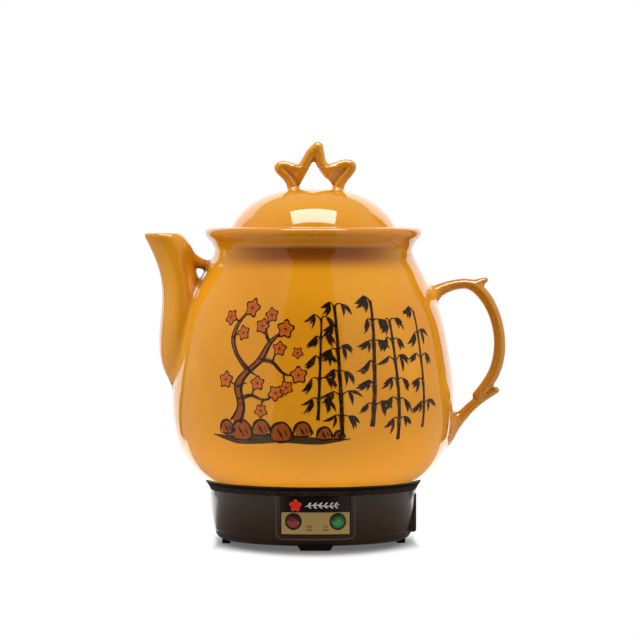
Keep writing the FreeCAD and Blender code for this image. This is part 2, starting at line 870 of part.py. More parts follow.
def make_lens(side):
    face = plate_face()
    seat = face - panel_thickness - housing_wall
    back = seat - lens_flange
    tube_back = back - lens_tube_length
    inner = lens_radius - lens_tube_wall
    ball = (lens_radius ** 2 + lens_dome ** 2) / (2 * lens_dome)
    rod_part = Part.makeCylinder(lens_radius, face - tube_back + lens_dome, centre)
    cap = Part.makeSphere(ball, Vector(0, 0, face - tube_back + lens_dome - ball))
    body = rod_part.common(cap.fuse(Part.makeCylinder(lens_radius, face - tube_back, centre)))
    flange = Part.makeCylinder(lens_radius + lens_flange, lens_flange, Vector(0, 0, back - tube_back))
    hollow = Part.makeCylinder(inner, lens_tube_length, centre)
    lens = joined([body, flange]).cut(hollow)
    lens.rotate(centre, Vector(1, 0, 0), 90)
    lens.translate(Vector(0, -tube_back, lens_height))
    return lens_frame(lens, side)


def make_lamp(side):
    """Neon lamp in its sleeve, pushed into the back of the lens."""
    face = plate_face()
    front = face - panel_thickness - housing_wall - lens_flange - fit_gap
    bulb = Part.makeCylinder(lamp_radius, lamp_length - lamp_radius, centre)
    nose = Part.makeSphere(lamp_radius, Vector(0, 0, lamp_length - lamp_radius))
    wires = []
    for s in (-1, 1):
        start = Vector(s * lamp_radius / 2, 0, -lamp_wire_length)
        wires.append(Part.makeCylinder(lamp_wire_radius, lamp_wire_length, start))
    lamp = joined([bulb, nose] + wires)
    lamp.rotate(centre, Vector(1, 0, 0), 90)
    lamp.translate(Vector(0, -(front - lamp_length), lens_height))
    return lens_frame(lamp, side)


# ---- heater ---------------------------------------------------------------------------

def element_height():
    """Middle of the element's ring: half of its tube lies in the plate."""
    return pot_floor_height - plate_thickness


def element_ring(radius):
    circle = Part.makeCircle(radius, at(element_ring_radius, element_height()), Vector(0, 1, 0))
    ring = Part.Face(Part.Wire(circle)).revolve(centre, up, 360 - element_gap_angle)
    ring.rotate(centre, up, 90 + element_gap_angle / 2)
    return ring


def element_ends():
    return [polar(element_ring_radius, 90 + s * element_gap_angle / 2) for s in (-1, 1)]


def make_heating_plate():
    plate = disc(plate_radius, pot_floor_height - plate_thickness, pot_floor_height)
    plate = plate.cut(element_ring(element_radius))
    for end in element_ends():
        plate = plate.cut(Part.makeSphere(element_radius, Vector(end.x, end.y, element_height())))
    return plate


def make_element():
    pieces = [element_ring(element_radius)]
    for end in element_ends():
        middle = Vector(end.x, end.y, element_height())
        pieces.append(Part.makeSphere(element_radius, middle))
        pieces.append(disc(element_radius, element_leg_bottom, element_height(), end))
        pin_bottom = element_leg_bottom - element_pin_length
        pieces.append(disc(element_pin_radius, pin_bottom, element_leg_bottom, end))
    return joined(pieces)


def make_pad():
    bottom = shield_floor_height + shield_wall
    top = element_height() - element_radius - fit_gap / 2
    pad = tube(plate_radius - pad_inset, pad_inner_radius, bottom, top)
    for end in element_ends():
        pad = pad.cut(disc(element_radius + fit_gap, bottom, top, end))
    return pad


def shield_seat():
    """Top of the housing's posts, where the shield's lugs rest."""
    return shield_rim_height - shield_wall


def make_shield():
    floor, rim = shield_floor_height, shield_rim_height
    profile = [
        (0, floor), (shield_radius, floor), (shield_radius, rim - shield_wall),
        (shield_flange_radius, rim - shield_wall), (shield_flange_radius, rim),
        (shield_radius - shield_wall, rim), (shield_radius - shield_wall, floor + shield_wall),
        (0, floor + shield_wall),
    ]
    dish = turned_polygon(profile)
    lugs = []
    for angle in post_angles:
        place = polar(post_place, angle)
        lug = disc(lug_radius, rim - shield_wall, rim, place)
        neck = block(shield_radius, post_place, -lug_radius, lug_radius, rim - shield_wall, rim)
        neck.rotate(centre, up, angle)
        lugs += [lug, neck]
    dish = joined([dish] + lugs)
    below, above = floor - cut_past, floor + shield_wall + cut_past
    cuts = [disc(thermostat_body_radius + fit_gap, below, above)]
    cuts += [disc(element_radius + fit_gap, below, above, end) for end in element_ends()]
    cuts += [disc(screw_radius, below, above, place) for place in strap_screw_places()]
    for angle in post_angles:
        place = polar(post_place, angle)
        cuts.append(disc(screw_radius + fit_gap, rim - shield_wall - cut_past, rim + cut_past, place))
    for tool in cuts:
        dish = dish.cut(tool)
    return dish


def make_shield_screws():
    screws = []
    for angle in post_angles:
        piece = screw(post_radius * 1.5)
        piece.rotate(centre, Vector(1, 0, 0), 180)
        piece.translate(polar(post_place, angle, shield_rim_height))
        screws.append(piece)
    return group(screws)


def make_thermostat():
    top = pot_floor_height - plate_thickness
    cap = disc(thermostat_radius, thermostat_step_height, top)
    body = disc(thermostat_body_radius, thermostat_body_bottom, thermostat_step_height)
    tabs = []
    for side in (-1, 1):
        x = side * thermostat_body_radius * 0.7
        tabs.append(block(x - tab_thickness / 2, x + tab_thickness / 2, -tab_width / 2, tab_width / 2,
                          thermostat_body_bottom - tab_length * 0.6, thermostat_body_bottom))
    return joined([cap, body] + tabs)


def strap_screw_places():
    reach = strap_half_length - strap_width / 2
    return [Vector(0, side * reach, 0) for side in (-1, 1)]


def make_strap():
    """Bent strap under the thermostat that holds it up against the plate."""
    low = thermostat_body_bottom - strap_thickness
    high = shield_floor_height - strap_thickness
    inner = thermostat_body_radius + strap_slack
    pieces = [block(-strap_width / 4, strap_width / 4, -inner - strap_thickness, inner + strap_thickness,
                    low, thermostat_body_bottom)]
    for side in (-1, 1):
        a, b = sorted((side * inner, side * (inner + strap_thickness)))
        pieces.append(block(-strap_width / 4, strap_width / 4, a, b, low, shield_floor_height))
        a, b = sorted((side * inner, side * strap_half_length))
        pieces.append(block(-strap_width / 2, strap_width / 2, a, b, high, shield_floor_height))
    strap = joined(pieces)
    for place in strap_screw_places():
        strap = strap.cut(disc(screw_radius, high - cut_past, shield_floor_height, place))
    return strap


def make_strap_screws():
    screws = []
    for place in strap_screw_places():
        piece = screw(strap_thickness + shield_wall)
        piece.translate(Vector(place.x, place.y, shield_floor_height - strap_thickness))
        screws.append(piece)
    return group(screws)


def fuse_axis():
    return Vector(-fuse_place, 0, shield_floor_height - fuse_radius)


def make_fuse():
    middle = fuse_axis()
    start = middle - Vector(0, fuse_length / 2, 0)
    body = Part.makeCylinder(fuse_radius, fuse_length, start, Vector(0, 1, 0))
    wire_start = middle - Vector(0, fuse_length, 0)
    wires = Part.makeCylinder(lamp_wire_radius, fuse_length * 2, wire_start, Vector(0, 1, 0))
    return joined([body, wires])


def make_fuse_clip():
    middle = fuse_axis()
    width = strap_width / 2
    start = middle - Vector(0, width / 2, 0)
    outer = Part.makeCylinder(fuse_radius + strap_thickness * 0.6, width, start, Vector(0, 1, 0))
    legs = block(middle.x - fuse_radius * 3, middle.x + fuse_radius * 3, -width / 2, width / 2,
                 shield_floor_height - strap_thickness * 0.6, shield_floor_height)
    bore = Part.makeCylinder(fuse_radius, width, start, Vector(0, 1, 0))
    box = block(middle.x - fuse_radius * 3, middle.x + fuse_radius * 3, -width / 2, width / 2,
                middle.z - fuse_radius * 2, shield_floor_height)
    slot = block(middle.x - fuse_radius, middle.x + fuse_radius, -width / 2, width / 2,
                 middle.z, shield_floor_height)
    return joined([outer, legs]).common(box).cut(bore).cut(slot)


# ---- terminals and inlet --------------------------------------------------------------

def terminal_spots():
    pitch = terminal_length / terminal_count
    return [(i - (terminal_count - 1) / 2) * pitch for i in range(terminal_count)]


def make_terminal_block():
    floor = foot_height + cover_thickness
    y = terminal_row
    body = block(terminal_place - terminal_length / 2, terminal_place + terminal_length / 2,
                 y - terminal_width / 2, y + terminal_width / 2, floor, floor + terminal_height)
    for x in terminal_spots():
        place = Vector(terminal_place + x, y, 0)
        body = body.cut(disc(terminal_screw_radius + terminal_screw_gap, floor + terminal_height / 2,
                             floor + terminal_height, place))
    return body


def make_terminal_screws():
    floor = foot_height + cover_thickness
    head_top = floor + terminal_height - terminal_screw_sink
    half_slot = screw_slot_width / 2
    y = terminal_row
    screws = []
    for x in terminal_spots():
        place = Vector(terminal_place + x, y, 0)
        piece = disc(terminal_screw_radius, floor + terminal_height / 2, head_top, place)
        slot = block(place.x - terminal_screw_radius, place.x + terminal_screw_radius,
                     y - half_slot, y + half_slot, head_top - terminal_slot_depth, head_top)
        screws.append(piece.cut(slot))
    return group(screws)


def make_inlet():
    """Black moulding with a socket that faces +X and two ears inside the housing."""
    body = inlet_front(0)
    lower = [e for e in body.Edges if e.BoundBox.YLength > inlet_width / 2
             and e.BoundBox.XMin > inlet_face - pick_reach
             and e.BoundBox.ZMax < inlet_bottom_height + pick_reach]
    body = body.makeFillet(inlet_corner, lower)
    low, high = ear_levels()
    front = ear_front()
    ears = block(front - ear_thickness, front,
                 ear_place(-1) - ear_width / 2, ear_place(1) + ear_width / 2, low, high)
    middle = inlet_middle()
    socket = block(inlet_face - socket_depth, inlet_face, -socket_width / 2, socket_width / 2,
                   middle - socket_height / 2, middle + socket_height / 2)
    upright = [e for e in socket.Edges if e.BoundBox.XLength > socket_depth / 2]
    socket = socket.makeFillet(socket_height / 4, upright)
    body = joined([body, inlet_back(), ears]).cut(socket)
    for side in (-1, 1):
        start = Vector(front - ear_thickness, ear_place(side), middle)
        body = body.cut(Part.makeCylinder(screw_radius + fit_gap, ear_thickness, start, Vector(1, 0, 0)))
        body = body.cut(pin_hole(side))
    return body


def pin_hole(side):
    middle = inlet_middle()
    start = Vector(inlet_face - inlet_depth, side * pin_pitch / 2, middle)
    return Part.makeCylinder(pin_shank_radius, inlet_depth - socket_depth, start, Vector(1, 0, 0))


def make_inlet_pins():
    """Two round contact pins with flat tails inside the base."""
    middle = inlet_middle()
    back = inlet_face - inlet_depth
    root = inlet_face - socket_depth
    pins = []
    for side in (-1, 1):
        y = side * pin_pitch / 2
        rod_part = Part.makeCylinder(pin_radius, pin_length, Vector(root, y, middle), Vector(1, 0, 0))
        front = [e for e in rod_part.Edges if e.BoundBox.XMin > root + pin_length - pick_reach]
        rod_part = rod_part.makeFillet(pin_radius / 2, front)
        shank = Part.makeCylinder(pin_shank_radius, root - back, Vector(back, y, middle), Vector(1, 0, 0))
        tail = block(back - pin_tail, back, y - tab_width / 2, y + tab_width / 2,
                     middle - tab_thickness / 2, middle + tab_thickness / 2)
        pins.append(joined([rod_part, shank, tail]))
    return group(pins)


def make_inlet_screws():
    middle = inlet_middle()
    screws = []
    for side in (-1, 1):
        piece = screw(ear_thickness + screw_radius * 1.5)
        piece.rotate(centre, Vector(0, 1, 0), 90)
        piece.translate(Vector(ear_front() - ear_thickness, ear_place(side), middle))
        screws.append(piece)
    return group(screws)


def litres(cavity, fill_height):
    """Volume of the pot up to a height, in litres."""
    return cavity.common(disc(belly_radius * 2, 0, fill_height)).Volume / 1e6


def main():
    os.makedirs("parts", exist_ok=True)
    outer = pot_outer()
    nodes = {
        "pot_body": make_pot(outer),
        "spout": make_spout(outer),
        "spout_bridge": make_bridge(outer),
        "handle": make_handle(outer),
        "lid": make_lid(),
        "lid_knob": make_knob(),
        "collar_ring": make_collar(outer),
        "pot_seal": make_seal(outer),
        "base_housing": make_housing(),
        "bottom_cover": make_cover(),
        "cover_screws": make_cover_screws(),
        "feet": make_feet(),
        "panel_plate": make_panel_plate(),
        "red_lens": make_lens(-1),
        "green_lens": make_lens(1),
        "red_lamp": make_lamp(-1),
        "green_lamp": make_lamp(1),
        "heating_plate": make_heating_plate(),
        "heating_element": make_element(),
        "insulation_pad": make_pad(),
        "heat_shield": make_shield(),
        "shield_screws": make_shield_screws(),
        "thermostat": make_thermostat(),
        "thermostat_strap": make_strap(),
        "strap_screws": make_strap_screws(),
        "thermal_fuse": make_fuse(),
        "fuse_clip": make_fuse_clip(),
        "terminal_block": make_terminal_block(),
        "terminal_screws": make_terminal_screws(),
        "power_inlet": make_inlet(),
        "inlet_pins": make_inlet_pins(),
        "inlet_screws": make_inlet_screws(),
    }
    for name, shape in nodes.items():
        print(name, len(shape.Solids), shape.isValid(), round(shape.Volume))
        shape.exportStep("parts/" + name + ".step")
    print("litres to the neck", round(litres(pot_cavity(), neck_height), 2))


main()
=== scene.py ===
import json
import math
import random

import bpy
import numpy as np
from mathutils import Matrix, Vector


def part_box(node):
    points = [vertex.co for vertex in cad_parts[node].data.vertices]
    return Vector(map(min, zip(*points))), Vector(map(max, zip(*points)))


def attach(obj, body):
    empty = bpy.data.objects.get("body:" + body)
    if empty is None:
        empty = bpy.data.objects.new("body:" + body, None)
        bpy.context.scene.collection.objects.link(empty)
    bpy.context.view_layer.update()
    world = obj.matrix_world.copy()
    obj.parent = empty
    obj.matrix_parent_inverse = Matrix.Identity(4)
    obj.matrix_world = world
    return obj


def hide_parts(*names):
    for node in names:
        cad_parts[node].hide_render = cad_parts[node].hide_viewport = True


# Electric pot for decocting herbs. Sizes are in millimetres, meshes in metres: +Z up, the pot's
# axis at x = y = 0, handle along +X, spout along -X, lamp panel towards -Y.

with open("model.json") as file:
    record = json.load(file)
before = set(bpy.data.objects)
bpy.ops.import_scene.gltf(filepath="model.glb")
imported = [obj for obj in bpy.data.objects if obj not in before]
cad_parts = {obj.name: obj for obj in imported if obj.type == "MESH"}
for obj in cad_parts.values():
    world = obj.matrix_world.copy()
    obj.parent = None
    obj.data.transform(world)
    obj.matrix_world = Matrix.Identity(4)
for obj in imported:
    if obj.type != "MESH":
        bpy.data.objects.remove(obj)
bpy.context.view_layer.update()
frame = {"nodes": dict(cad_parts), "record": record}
nodes = frame["nodes"]
mm = 0.001
print("frame loaded:", len(nodes), "nodes")


def turnedTo(place, aim):      # the rotation that looks from place to aim
    return (Vector(aim) - Vector(place)).to_track_quat("-Z", "Y").to_euler()


# a long lens in front, at the height of the rim
camera = {"lens": 183.4, "place": (-0.051, -2.445, 0.2358), "aim": (0.00495, 0.0, 0.1668)}

cameraObject = bpy.data.objects.new("camera", bpy.data.cameras.new("camera"))
bpy.context.scene.collection.objects.link(cameraObject)
cameraObject.data.lens = camera["lens"]
cameraObject.data.sensor_width = 36
cameraObject.data.clip_end = 50
cameraObject.location = camera["place"]
cameraObject.rotation_euler = turnedTo(camera["place"], camera["aim"])
bpy.context.scene.camera = cameraObject


class Socket:      # a node's output, so that shader maths reads as sums
    def __init__(self, shader, link):
        self.shader = shader
        self.link = link

    def math(self, operation, *others):
        return self.shader.node("ShaderNodeMath", {"operation": operation}, [self, *others])

    def __add__(self, other):
        return self.math("ADD", other)

    def __sub__(self, other):
        return self.math("SUBTRACT", other)

    def __rsub__(self, other):
        return self.shader.node("ShaderNodeMath", {"operation": "SUBTRACT"}, [other, self])

    def __mul__(self, other):
        return self.math("MULTIPLY", other)

    def __gt__(self, other):
        return self.math("GREATER_THAN", other)

    def __lt__(self, other):
        return self.math("LESS_THAN", other)

    def __abs__(self):
        return self.math("ABSOLUTE")

    __radd__ = __add__
    __rmul__ = __mul__


class Shader:
    def __init__(self, owner):
        owner.use_nodes = True
        self.tree = owner.node_tree
        self.tree.nodes.clear()

    def node(self, kind, settings=None, inputs=(), output=0):
        made = self.tree.nodes.new(kind)
        for key, value in (settings or {}).items():
            setattr(made, key, value)
        pairs = inputs.items() if isinstance(inputs, dict) else enumerate(inputs)
        for key, value in pairs:
            if isinstance(value, Socket):
                self.tree.links.new(value.link, made.inputs[key])
            elif value is not None:
                made.inputs[key].default_value = value
        return Socket(self, made.outputs[output]) if made.outputs else None

    def mix(self, share, a, b):      # colours, which are sockets 6 and 7 of the node and its output 2
        return self.node("ShaderNodeMix", {"data_type": "RGBA"}, {0: share, 6: a, 7: b}, 2)

    def vector(self, operation, *values, output=0):
        return self.node("ShaderNodeVectorMath", {"operation": operation}, values, output)

    def parts(self, vector):      # x, y and z of a vector
        split = self.node("ShaderNodeSeparateXYZ", {}, [vector])
        return [Socket(self, s) for s in split.link.node.outputs]

    def step(self, value, low, high):      # 0 below low, 1 above high, smooth between
        return self.node("ShaderNodeMapRange", {"interpolation_type": "SMOOTHSTEP"},
                         [value, low, high, 0.0, 1.0])

    def inside(self, value, rise, fall):      # 1 between two soft edges
        return self.step(value, *rise) * (1 - self.step(value, *fall))

    def place(self):
        return self.node("ShaderNodeTexCoord", {}, {}, "Object")

    def between(self, share, a, b):      # numbers, from a where share is 0 to b where it is 1
        return share * (b - a) + a

    def azimuth(self, x, y):      # degrees from the camera's side, positive towards the handle
        return x.math("ARCTAN2", 0 - y) * (180 / math.pi)

    def noise(self, scale, detail=3.0, roughness=0.5, where=None):
        return self.node("ShaderNodeTexNoise", {}, {"Vector": where or self.place(), "Scale": scale,
                                                    "Detail": detail, "Roughness": roughness})

    def bump(self, height, distance):
        return self.node("ShaderNodeBump", {}, {"Height": height, "Strength": 1.0, "Distance": distance * mm})

    def surface(self, **sockets):      # a Principled shader straight to the output
        names = {key.replace("_", " "): value for key, value in sockets.items()}
        made = self.node("ShaderNodeBsdfPrincipled", {}, names)
        self.node("ShaderNodeOutputMaterial", {}, {"Surface": made})


def newShader(name):
    material = bpy.data.materials.new(name)
    return material, Shader(material)


# zones are in mm: heights, and distances from the axis or along x where the name says so
glaze = {
    "amber": (0.72, 0.270, 0.006, 1), "honey": (0.77, 0.315, 0.010, 1), "pooledAndShade": (0.150, 0.038, 0.002, 1),
    "neck": (0.32, 0.082, 0.002, 1), "lip": (0.67, 0.240, 0.008, 1), "branch": (0.56, 0.210, 0.009, 1),
    "foot": (0.92, 0.355, 0.010, 1), "cap": (0.72, 0.300, 0.010, 1),
    "coat": 0.35, "branchCoat": 1.0, "roughness": 0.040, "ior": 1.52, "hollow": 6.0, "speckle": 0.05,
    "ripple": 0.035, "capShare": 0.8, "handleShadeShare": 0.8,
    "bounceLightEnd": (52.0, 112.0), "neckStart": (203.0, 215.0), "lipStart": (220.5, 223.5),
    "lipEnd": (235.6, 236.8), "capStart": (236.4, 237.4), "capEnd": (261.0, 267.0), "knobStart": (262.0, 267.0),
    "rimReach": (83.0, 87.0), "handleReach": (92.0, 112.0), "shadedFrontTurn": (20.0, 75.0),
}


def makeGlaze():
    material, shader = newShader("amberGlaze")
    cloud = shader.noise(16.0, 2.0)
    grain = shader.noise(900.0, 2.0)
    tone = shader.mix(shader.step(cloud, 0.35, 0.65), glaze["amber"], glaze["honey"])
    tone = shader.mix(shader.step(grain, 0.62, 0.78) * glaze["speckle"], tone, glaze["pooledAndShade"])
    openness = shader.node("ShaderNodeAmbientOcclusion", {"samples": 16, "only_local": True},
                           {"Distance": glaze["hollow"] * mm}, "AO")
    tone = shader.mix(shader.step(openness, 0.25, 0.95), glaze["pooledAndShade"], tone)      # painted shade in hollows, partly glaze pooled there
    x, y, z = (part * (1 / mm) for part in shader.parts(shader.place()))
    onRim = 1 - shader.step((x * x + y * y).math("SQRT"), *glaze["rimReach"])
    # the front of the neck, where painted shade and a painted dark reflection go
    shadedFront = 1 - shader.step(abs(shader.azimuth(x, y)), *glaze["shadedFrontTurn"])
    onLid = shader.inside(z, glaze["capStart"], glaze["capEnd"])
    onHandle = shader.step(x, *glaze["handleReach"])
    onKnob = shader.step(z, *glaze["knobStart"])
    # painted light: the lower belly lighter, for light bounced up from the floor
    tone = shader.mix((1 - shader.step(z, *glaze["bounceLightEnd"])) * (1 - onHandle), tone, glaze["foot"])
    onLip = shader.inside(z, glaze["lipStart"], glaze["lipEnd"]) * onRim
    neckShadeMask = shader.inside(z, glaze["neckStart"], glaze["lipStart"]) * onRim * shadedFront
    tone = shader.mix(onLip, tone, glaze["lip"])
    # painted shade under the rim's overhang and a painted dark reflection, on the front of the neck
    tone = shader.mix(neckShadeMask, tone, glaze["neck"])
    tone = shader.mix(onLid * glaze["capShare"], tone, glaze["cap"])
    # the handle darker: partly painted shade, partly thicker glaze
    tone = shader.mix(onHandle * glaze["handleShadeShare"], tone, glaze["branch"])
    ripple = shader.noise(55.0, 2.0) + grain * 0.02
    coat = shader.between(onHandle.math("MAXIMUM", onKnob), glaze["coat"], glaze["branchCoat"])
    shader.surface(Base_Color=tone, Roughness=glaze["roughness"], IOR=glaze["ior"], Coat_Weight=coat,
                   Coat_Roughness=0.03, Normal=shader.bump(ripple, glaze["ripple"]))
    return material


def makeInk(name, colour):      # fired under the glaze, thinner in blotches
    material, shader = newShader(name)
    wash = shader.noise(220.0, 4.0, 0.7)
    thin = tuple(c * 0.4 + g * 0.6 for c, g in zip(colour, glaze["amber"]))
    tone = shader.mix(shader.step(wash, 0.5, 0.8) * 0.35, colour, thin)
    shader.surface(Base_Color=tone, Roughness=0.10, IOR=glaze["ior"])
    return material


def scaled(colour, factor):
    return tuple(c * factor for c in colour[:3]) + (1,)


def makeMoulded(name, colour, roughness, grain=0.012, scale=2600.0):
    material, shader = newShader(name)
    fine = shader.noise(scale, 3.0, 0.6)
    worn = shader.noise(40.0, 4.0, 0.6)
    tone = shader.mix(shader.step(worn, 0.3, 0.75) * 0.35, colour, scaled(colour, 1.35))
    rough = worn * 0.10 + (roughness - 0.05)
    shader.surface(Base_Color=tone, Roughness=rough, Normal=shader.bump(fine, grain))
    return material


housing = {"brown": (0.018, 0.0085, 0.0042, 1), "worn": (0.026, 0.0125, 0.0064, 1),
           "tint": (1.0, 0.68, 0.48, 1), "roughness": 0.20, "level": 0.32, "coat": 0.85,
           "coatFrom": 6.0, "coatTo": 44.0}


def makeHousing():      # satin moulding, glossier towards the top
    material, shader = newShader("satinBrown")
    z = shader.parts(shader.place())[2]
    fine = shader.noise(1800.0, 3.0, 0.6)
    worn = shader.noise(40.0, 4.0, 0.6)
    tone = shader.mix(shader.step(worn, 0.3, 0.75) * 0.35, housing["brown"], housing["worn"])
    coat = shader.step(z, housing["coatFrom"] * mm, housing["coatTo"] * mm) * housing["coat"]
    shader.surface(Base_Color=tone, Roughness=worn * 0.10 + housing["roughness"],
                   Specular_Tint=housing["tint"], Specular_IOR_Level=housing["level"],
                   Coat_Weight=coat, Coat_Roughness=0.12, Normal=shader.bump(fine, 0.02))
    return material


collar = {"dark": (0.005, 0.0032, 0.0024, 1), "pale": (0.070, 0.048, 0.032, 1),
          "edge": (0.002, 0.0016, 0.0014, 1), "edgeWidth": 1.7,
          "roughness": 0.78, "level": 0.12, "grain": 0.60}


def makeRoughBrown():      # rough cast, near-black along its top edge
    material, shader = newShader("roughBrown")
    coarse = shader.noise(850.0, 5.0, 0.7)
    fine = shader.noise(2600.0, 3.0, 0.6)
    height = coarse * 0.7 + fine * 0.3
    tone = shader.mix(shader.step(height, 0.47, 0.60) * 0.75, collar["dark"], collar["pale"])
    z = shader.parts(shader.place())[2]
    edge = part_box("collar_ring")[1][2] - collar["edgeWidth"] * mm
    tone = shader.mix(z > edge, tone, collar["edge"])
    shader.surface(Base_Color=tone, Roughness=collar["roughness"], Specular_IOR_Level=collar["level"],
                   Normal=shader.bump(height, collar["grain"]))
    return material


panel = {
    "black": (0.0035, 0.0028, 0.0035, 1), "gold": (0.295, 0.195, 0.058, 1), "brushed": (0.37, 0.27, 0.10, 1),
    "tint": (1.0, 0.80, 0.66, 1), "bandHeight": 28.8, "gapShadeReach": 1.15,
    "faceRadius": 78.1, "halfWidth": 26.0, "low": 12.2, "high": 40.0,
    "bezelRadius": 78.6, "bezelHalf": 29.4, "bezelLow": 9.1, "bezelHighlight": (0.060, 0.043, 0.033, 1),
    "bezelCorner": 5.0, "border": 0.7, "lift": 0.05,
    "red": (0.62, 0.035, 0.012, 1), "cream": (0.62, 0.60, 0.54, 1),
}
lamp = {
    "radius": 5.1, "angle": 12.0, "height": 22.2, "ringPitch": 1.05, "shade": (-0.12, 0.22),
    "heart": (0.35, 0.72), "edge": (0.84, 1.0),
    "red": {"high": (0.032, 0.002, 0.002, 1), "low": (0.210, 0.045, 0.032, 1),
            "heart": (0.360, 0.010, 0.008, 1)},
    "green": {"high": (0.002, 0.070, 0.014, 1), "low": (0.016, 0.190, 0.045, 1),
              "heart": (0.075, 0.300, 0.070, 1)},
}


def lampPlace(side):      # the middle of a lens, side is -1 for red and 1 for green
    turn = math.radians(lamp["angle"] * side)
    radius = panel["faceRadius"] * mm
    return (radius * math.sin(turn), -radius * math.cos(turn), lamp["height"] * mm)


def makePanelFace():
    material, shader = newShader("panelFace")
    upper = shader.parts(shader.place())[2] > panel["bandHeight"] * mm
    brushed = shader.noise(3000.0, 2.0, 0.5)
    gold = shader.mix(shader.step(brushed, 0.3, 0.7) * 0.25, panel["gold"], panel["brushed"])
    tone = shader.mix(upper, gold, panel["black"])
    for side in (-1, 1):      # painted shade: a dark ring round each lens, for the gap round it
        away = shader.vector("LENGTH", shader.vector("SUBTRACT", shader.place(), lampPlace(side)), output=1)
        tone = shader.mix(away < (lamp["radius"] + panel["gapShadeReach"]) * mm, tone, panel["black"])
    shader.surface(Base_Color=tone, Roughness=0.38 - upper * 0.12, Specular_Tint=panel["tint"],
                   Normal=shader.bump(brushed, 0.01))
    return material


def makeLens(name, tones, side):      # clear moulded dome with rings; painted reflection: dark in its upper half, lighter in its lower half
    material, shader = newShader(name)
    away = shader.vector("SUBTRACT", shader.place(), lampPlace(side))
    distance = shader.vector("LENGTH", away, output=1) * (1 / (lamp["radius"] * mm))
    rings = (distance * (2 * math.pi * lamp["radius"] / lamp["ringPitch"])).math("SINE")
    upper = shader.step(shader.parts(away)[2], *(share * lamp["radius"] * mm for share in lamp["shade"]))
    heart = 1 - shader.step(distance, *lamp["heart"])
    tone = shader.mix(upper, tones["low"], tones["high"])
    # painted highlight: lighter rings round the middle
    tone = shader.mix(heart * (rings * 0.3 + 0.55), tone, tones["heart"])
    tone = shader.mix(shader.step(distance, *lamp["edge"]) * 0.8, tone, tones["high"])
    shader.surface(Base_Color=tone, Roughness=0.07, IOR=1.49, Transmission_Weight=0.15, Coat_Weight=0.4,
                   Normal=shader.bump(rings, 0.14))
    return material


def makeMetal(name, colour, roughness, scale=(400.0, 400.0, 40.0)):
    material, shader = newShader(name)
    stretched = shader.vector("MULTIPLY", shader.place(), scale)
    streak = shader.noise(5.0, 4.0, 0.6, stretched)
    tone = shader.mix(shader.step(streak, 0.3, 0.8) * 0.4, colour, scaled(colour, 0.7))
    shader.surface(Base_Color=tone, Roughness=streak * 0.2 + roughness, Metallic=1.0,
                   Normal=shader.bump(streak, 0.02))
    return material


def makeFelt():
    material, shader = newShader("insulationFelt")
    fibres = shader.noise(1400.0, 6.0, 0.8)
    tone = shader.mix(fibres, (0.55, 0.53, 0.48, 1), (0.80, 0.78, 0.73, 1))
    shader.surface(Base_Color=tone, Roughness=0.95, Sheen_Weight=0.3, Normal=shader.bump(fibres, 0.4))
    return material


def makeGlass():
    material, shader = newShader("lampGlass")
    shader.surface(Base_Color=(0.95, 0.93, 0.90, 1), Roughness=0.04, IOR=1.47, Transmission_Weight=0.9,
                   Normal=shader.bump(shader.noise(160.0), 0.03))
    return material


finishes = {
    "amber_glaze": makeGlaze(),
    "rough_brown": makeRoughBrown(),
    "black_silicone": makeMoulded("blackSilicone", (0.012, 0.011, 0.010, 1), 0.55),
    "satin_brown": makeHousing(),
    "black_rubber": makeMoulded("blackRubber", (0.003, 0.0026, 0.0026, 1), 0.85, 0.03, 1500.0),
    "panel_face": makePanelFace(),
    "red_lens": makeLens("redLens", lamp["red"], -1),
    "green_lens": makeLens("greenLens", lamp["green"], 1),
    "lamp_glass": makeGlass(),
    "cast_aluminium": makeMetal("castAluminium", (0.72, 0.72, 0.71, 1), 0.42, (300.0, 300.0, 300.0)),
    "element_steel": makeMetal("elementSteel", (0.48, 0.46, 0.44, 1), 0.30),
    "insulation_felt": makeFelt(),
    "black_bakelite": makeMoulded("blackBakelite", (0.022, 0.019, 0.017, 1), 0.35),
    "white_plastic": makeMoulded("whitePlastic", (0.74, 0.73, 0.69, 1), 0.45),
    "black_plastic": makeMoulded("blackPlastic", (0.014, 0.012, 0.011, 1), 0.38),
    "zinc_screw": makeMetal("zincScrew", (0.62, 0.62, 0.60, 1), 0.30),
    "brass_screw": makeMetal("brassScrew", (0.75, 0.56, 0.25, 1), 0.30),
    "brass_pin": makeMetal("platedPin", (0.76, 0.72, 0.62, 1), 0.22),
}
for part in frame["record"]["subparts"]:
    mesh = nodes[part["node"]].data
    mesh.materials.clear()
    mesh.materials.append(finishes[part["material_slot"]])
print("finishes made:", len(finishes))


# The ceramic's forms are distance fields: negative inside the clay, in mm.
def smoothLine(places, values):      # natural cubic spline, read at any place
    x, y = np.array(places, float), np.array(values, float)
    h, count = np.diff(x), len(x)
    matrix, right = np.eye(count), np.zeros(count)
    for i in range(1, count - 1):
        matrix[i, i - 1:i + 2] = h[i - 1], 2 * (h[i - 1] + h[i]), h[i]
        right[i] = 6 * ((y[i + 1] - y[i]) / h[i] - (y[i] - y[i - 1]) / h[i - 1])
    bend = np.linalg.solve(matrix, right)

    def read(t):
        t = np.clip(t, x[0], x[-1])
        i = np.clip(np.searchsorted(x, t) - 1, 0, count - 2)
        a, b = x[i + 1] - t, t - x[i]
        return ((bend[i] * a ** 3 + bend[i + 1] * b ** 3) / (6 * h[i])
                + (y[i] / h[i] - bend[i] * h[i] / 6) * a + (y[i + 1] / h[i] - bend[i + 1] * h[i] / 6) * b)
    return read


def smoothCurve(points, count):      # the same spline through points of any dimension
    points = np.array(points, float)
    run = np.append(0, np.cumsum(np.linalg.norm(np.diff(points, axis=0), axis=1)))
    places = np.linspace(0, run[-1], count)
    return np.stack([smoothLine(run, column)(places) for column in points.T], 1)


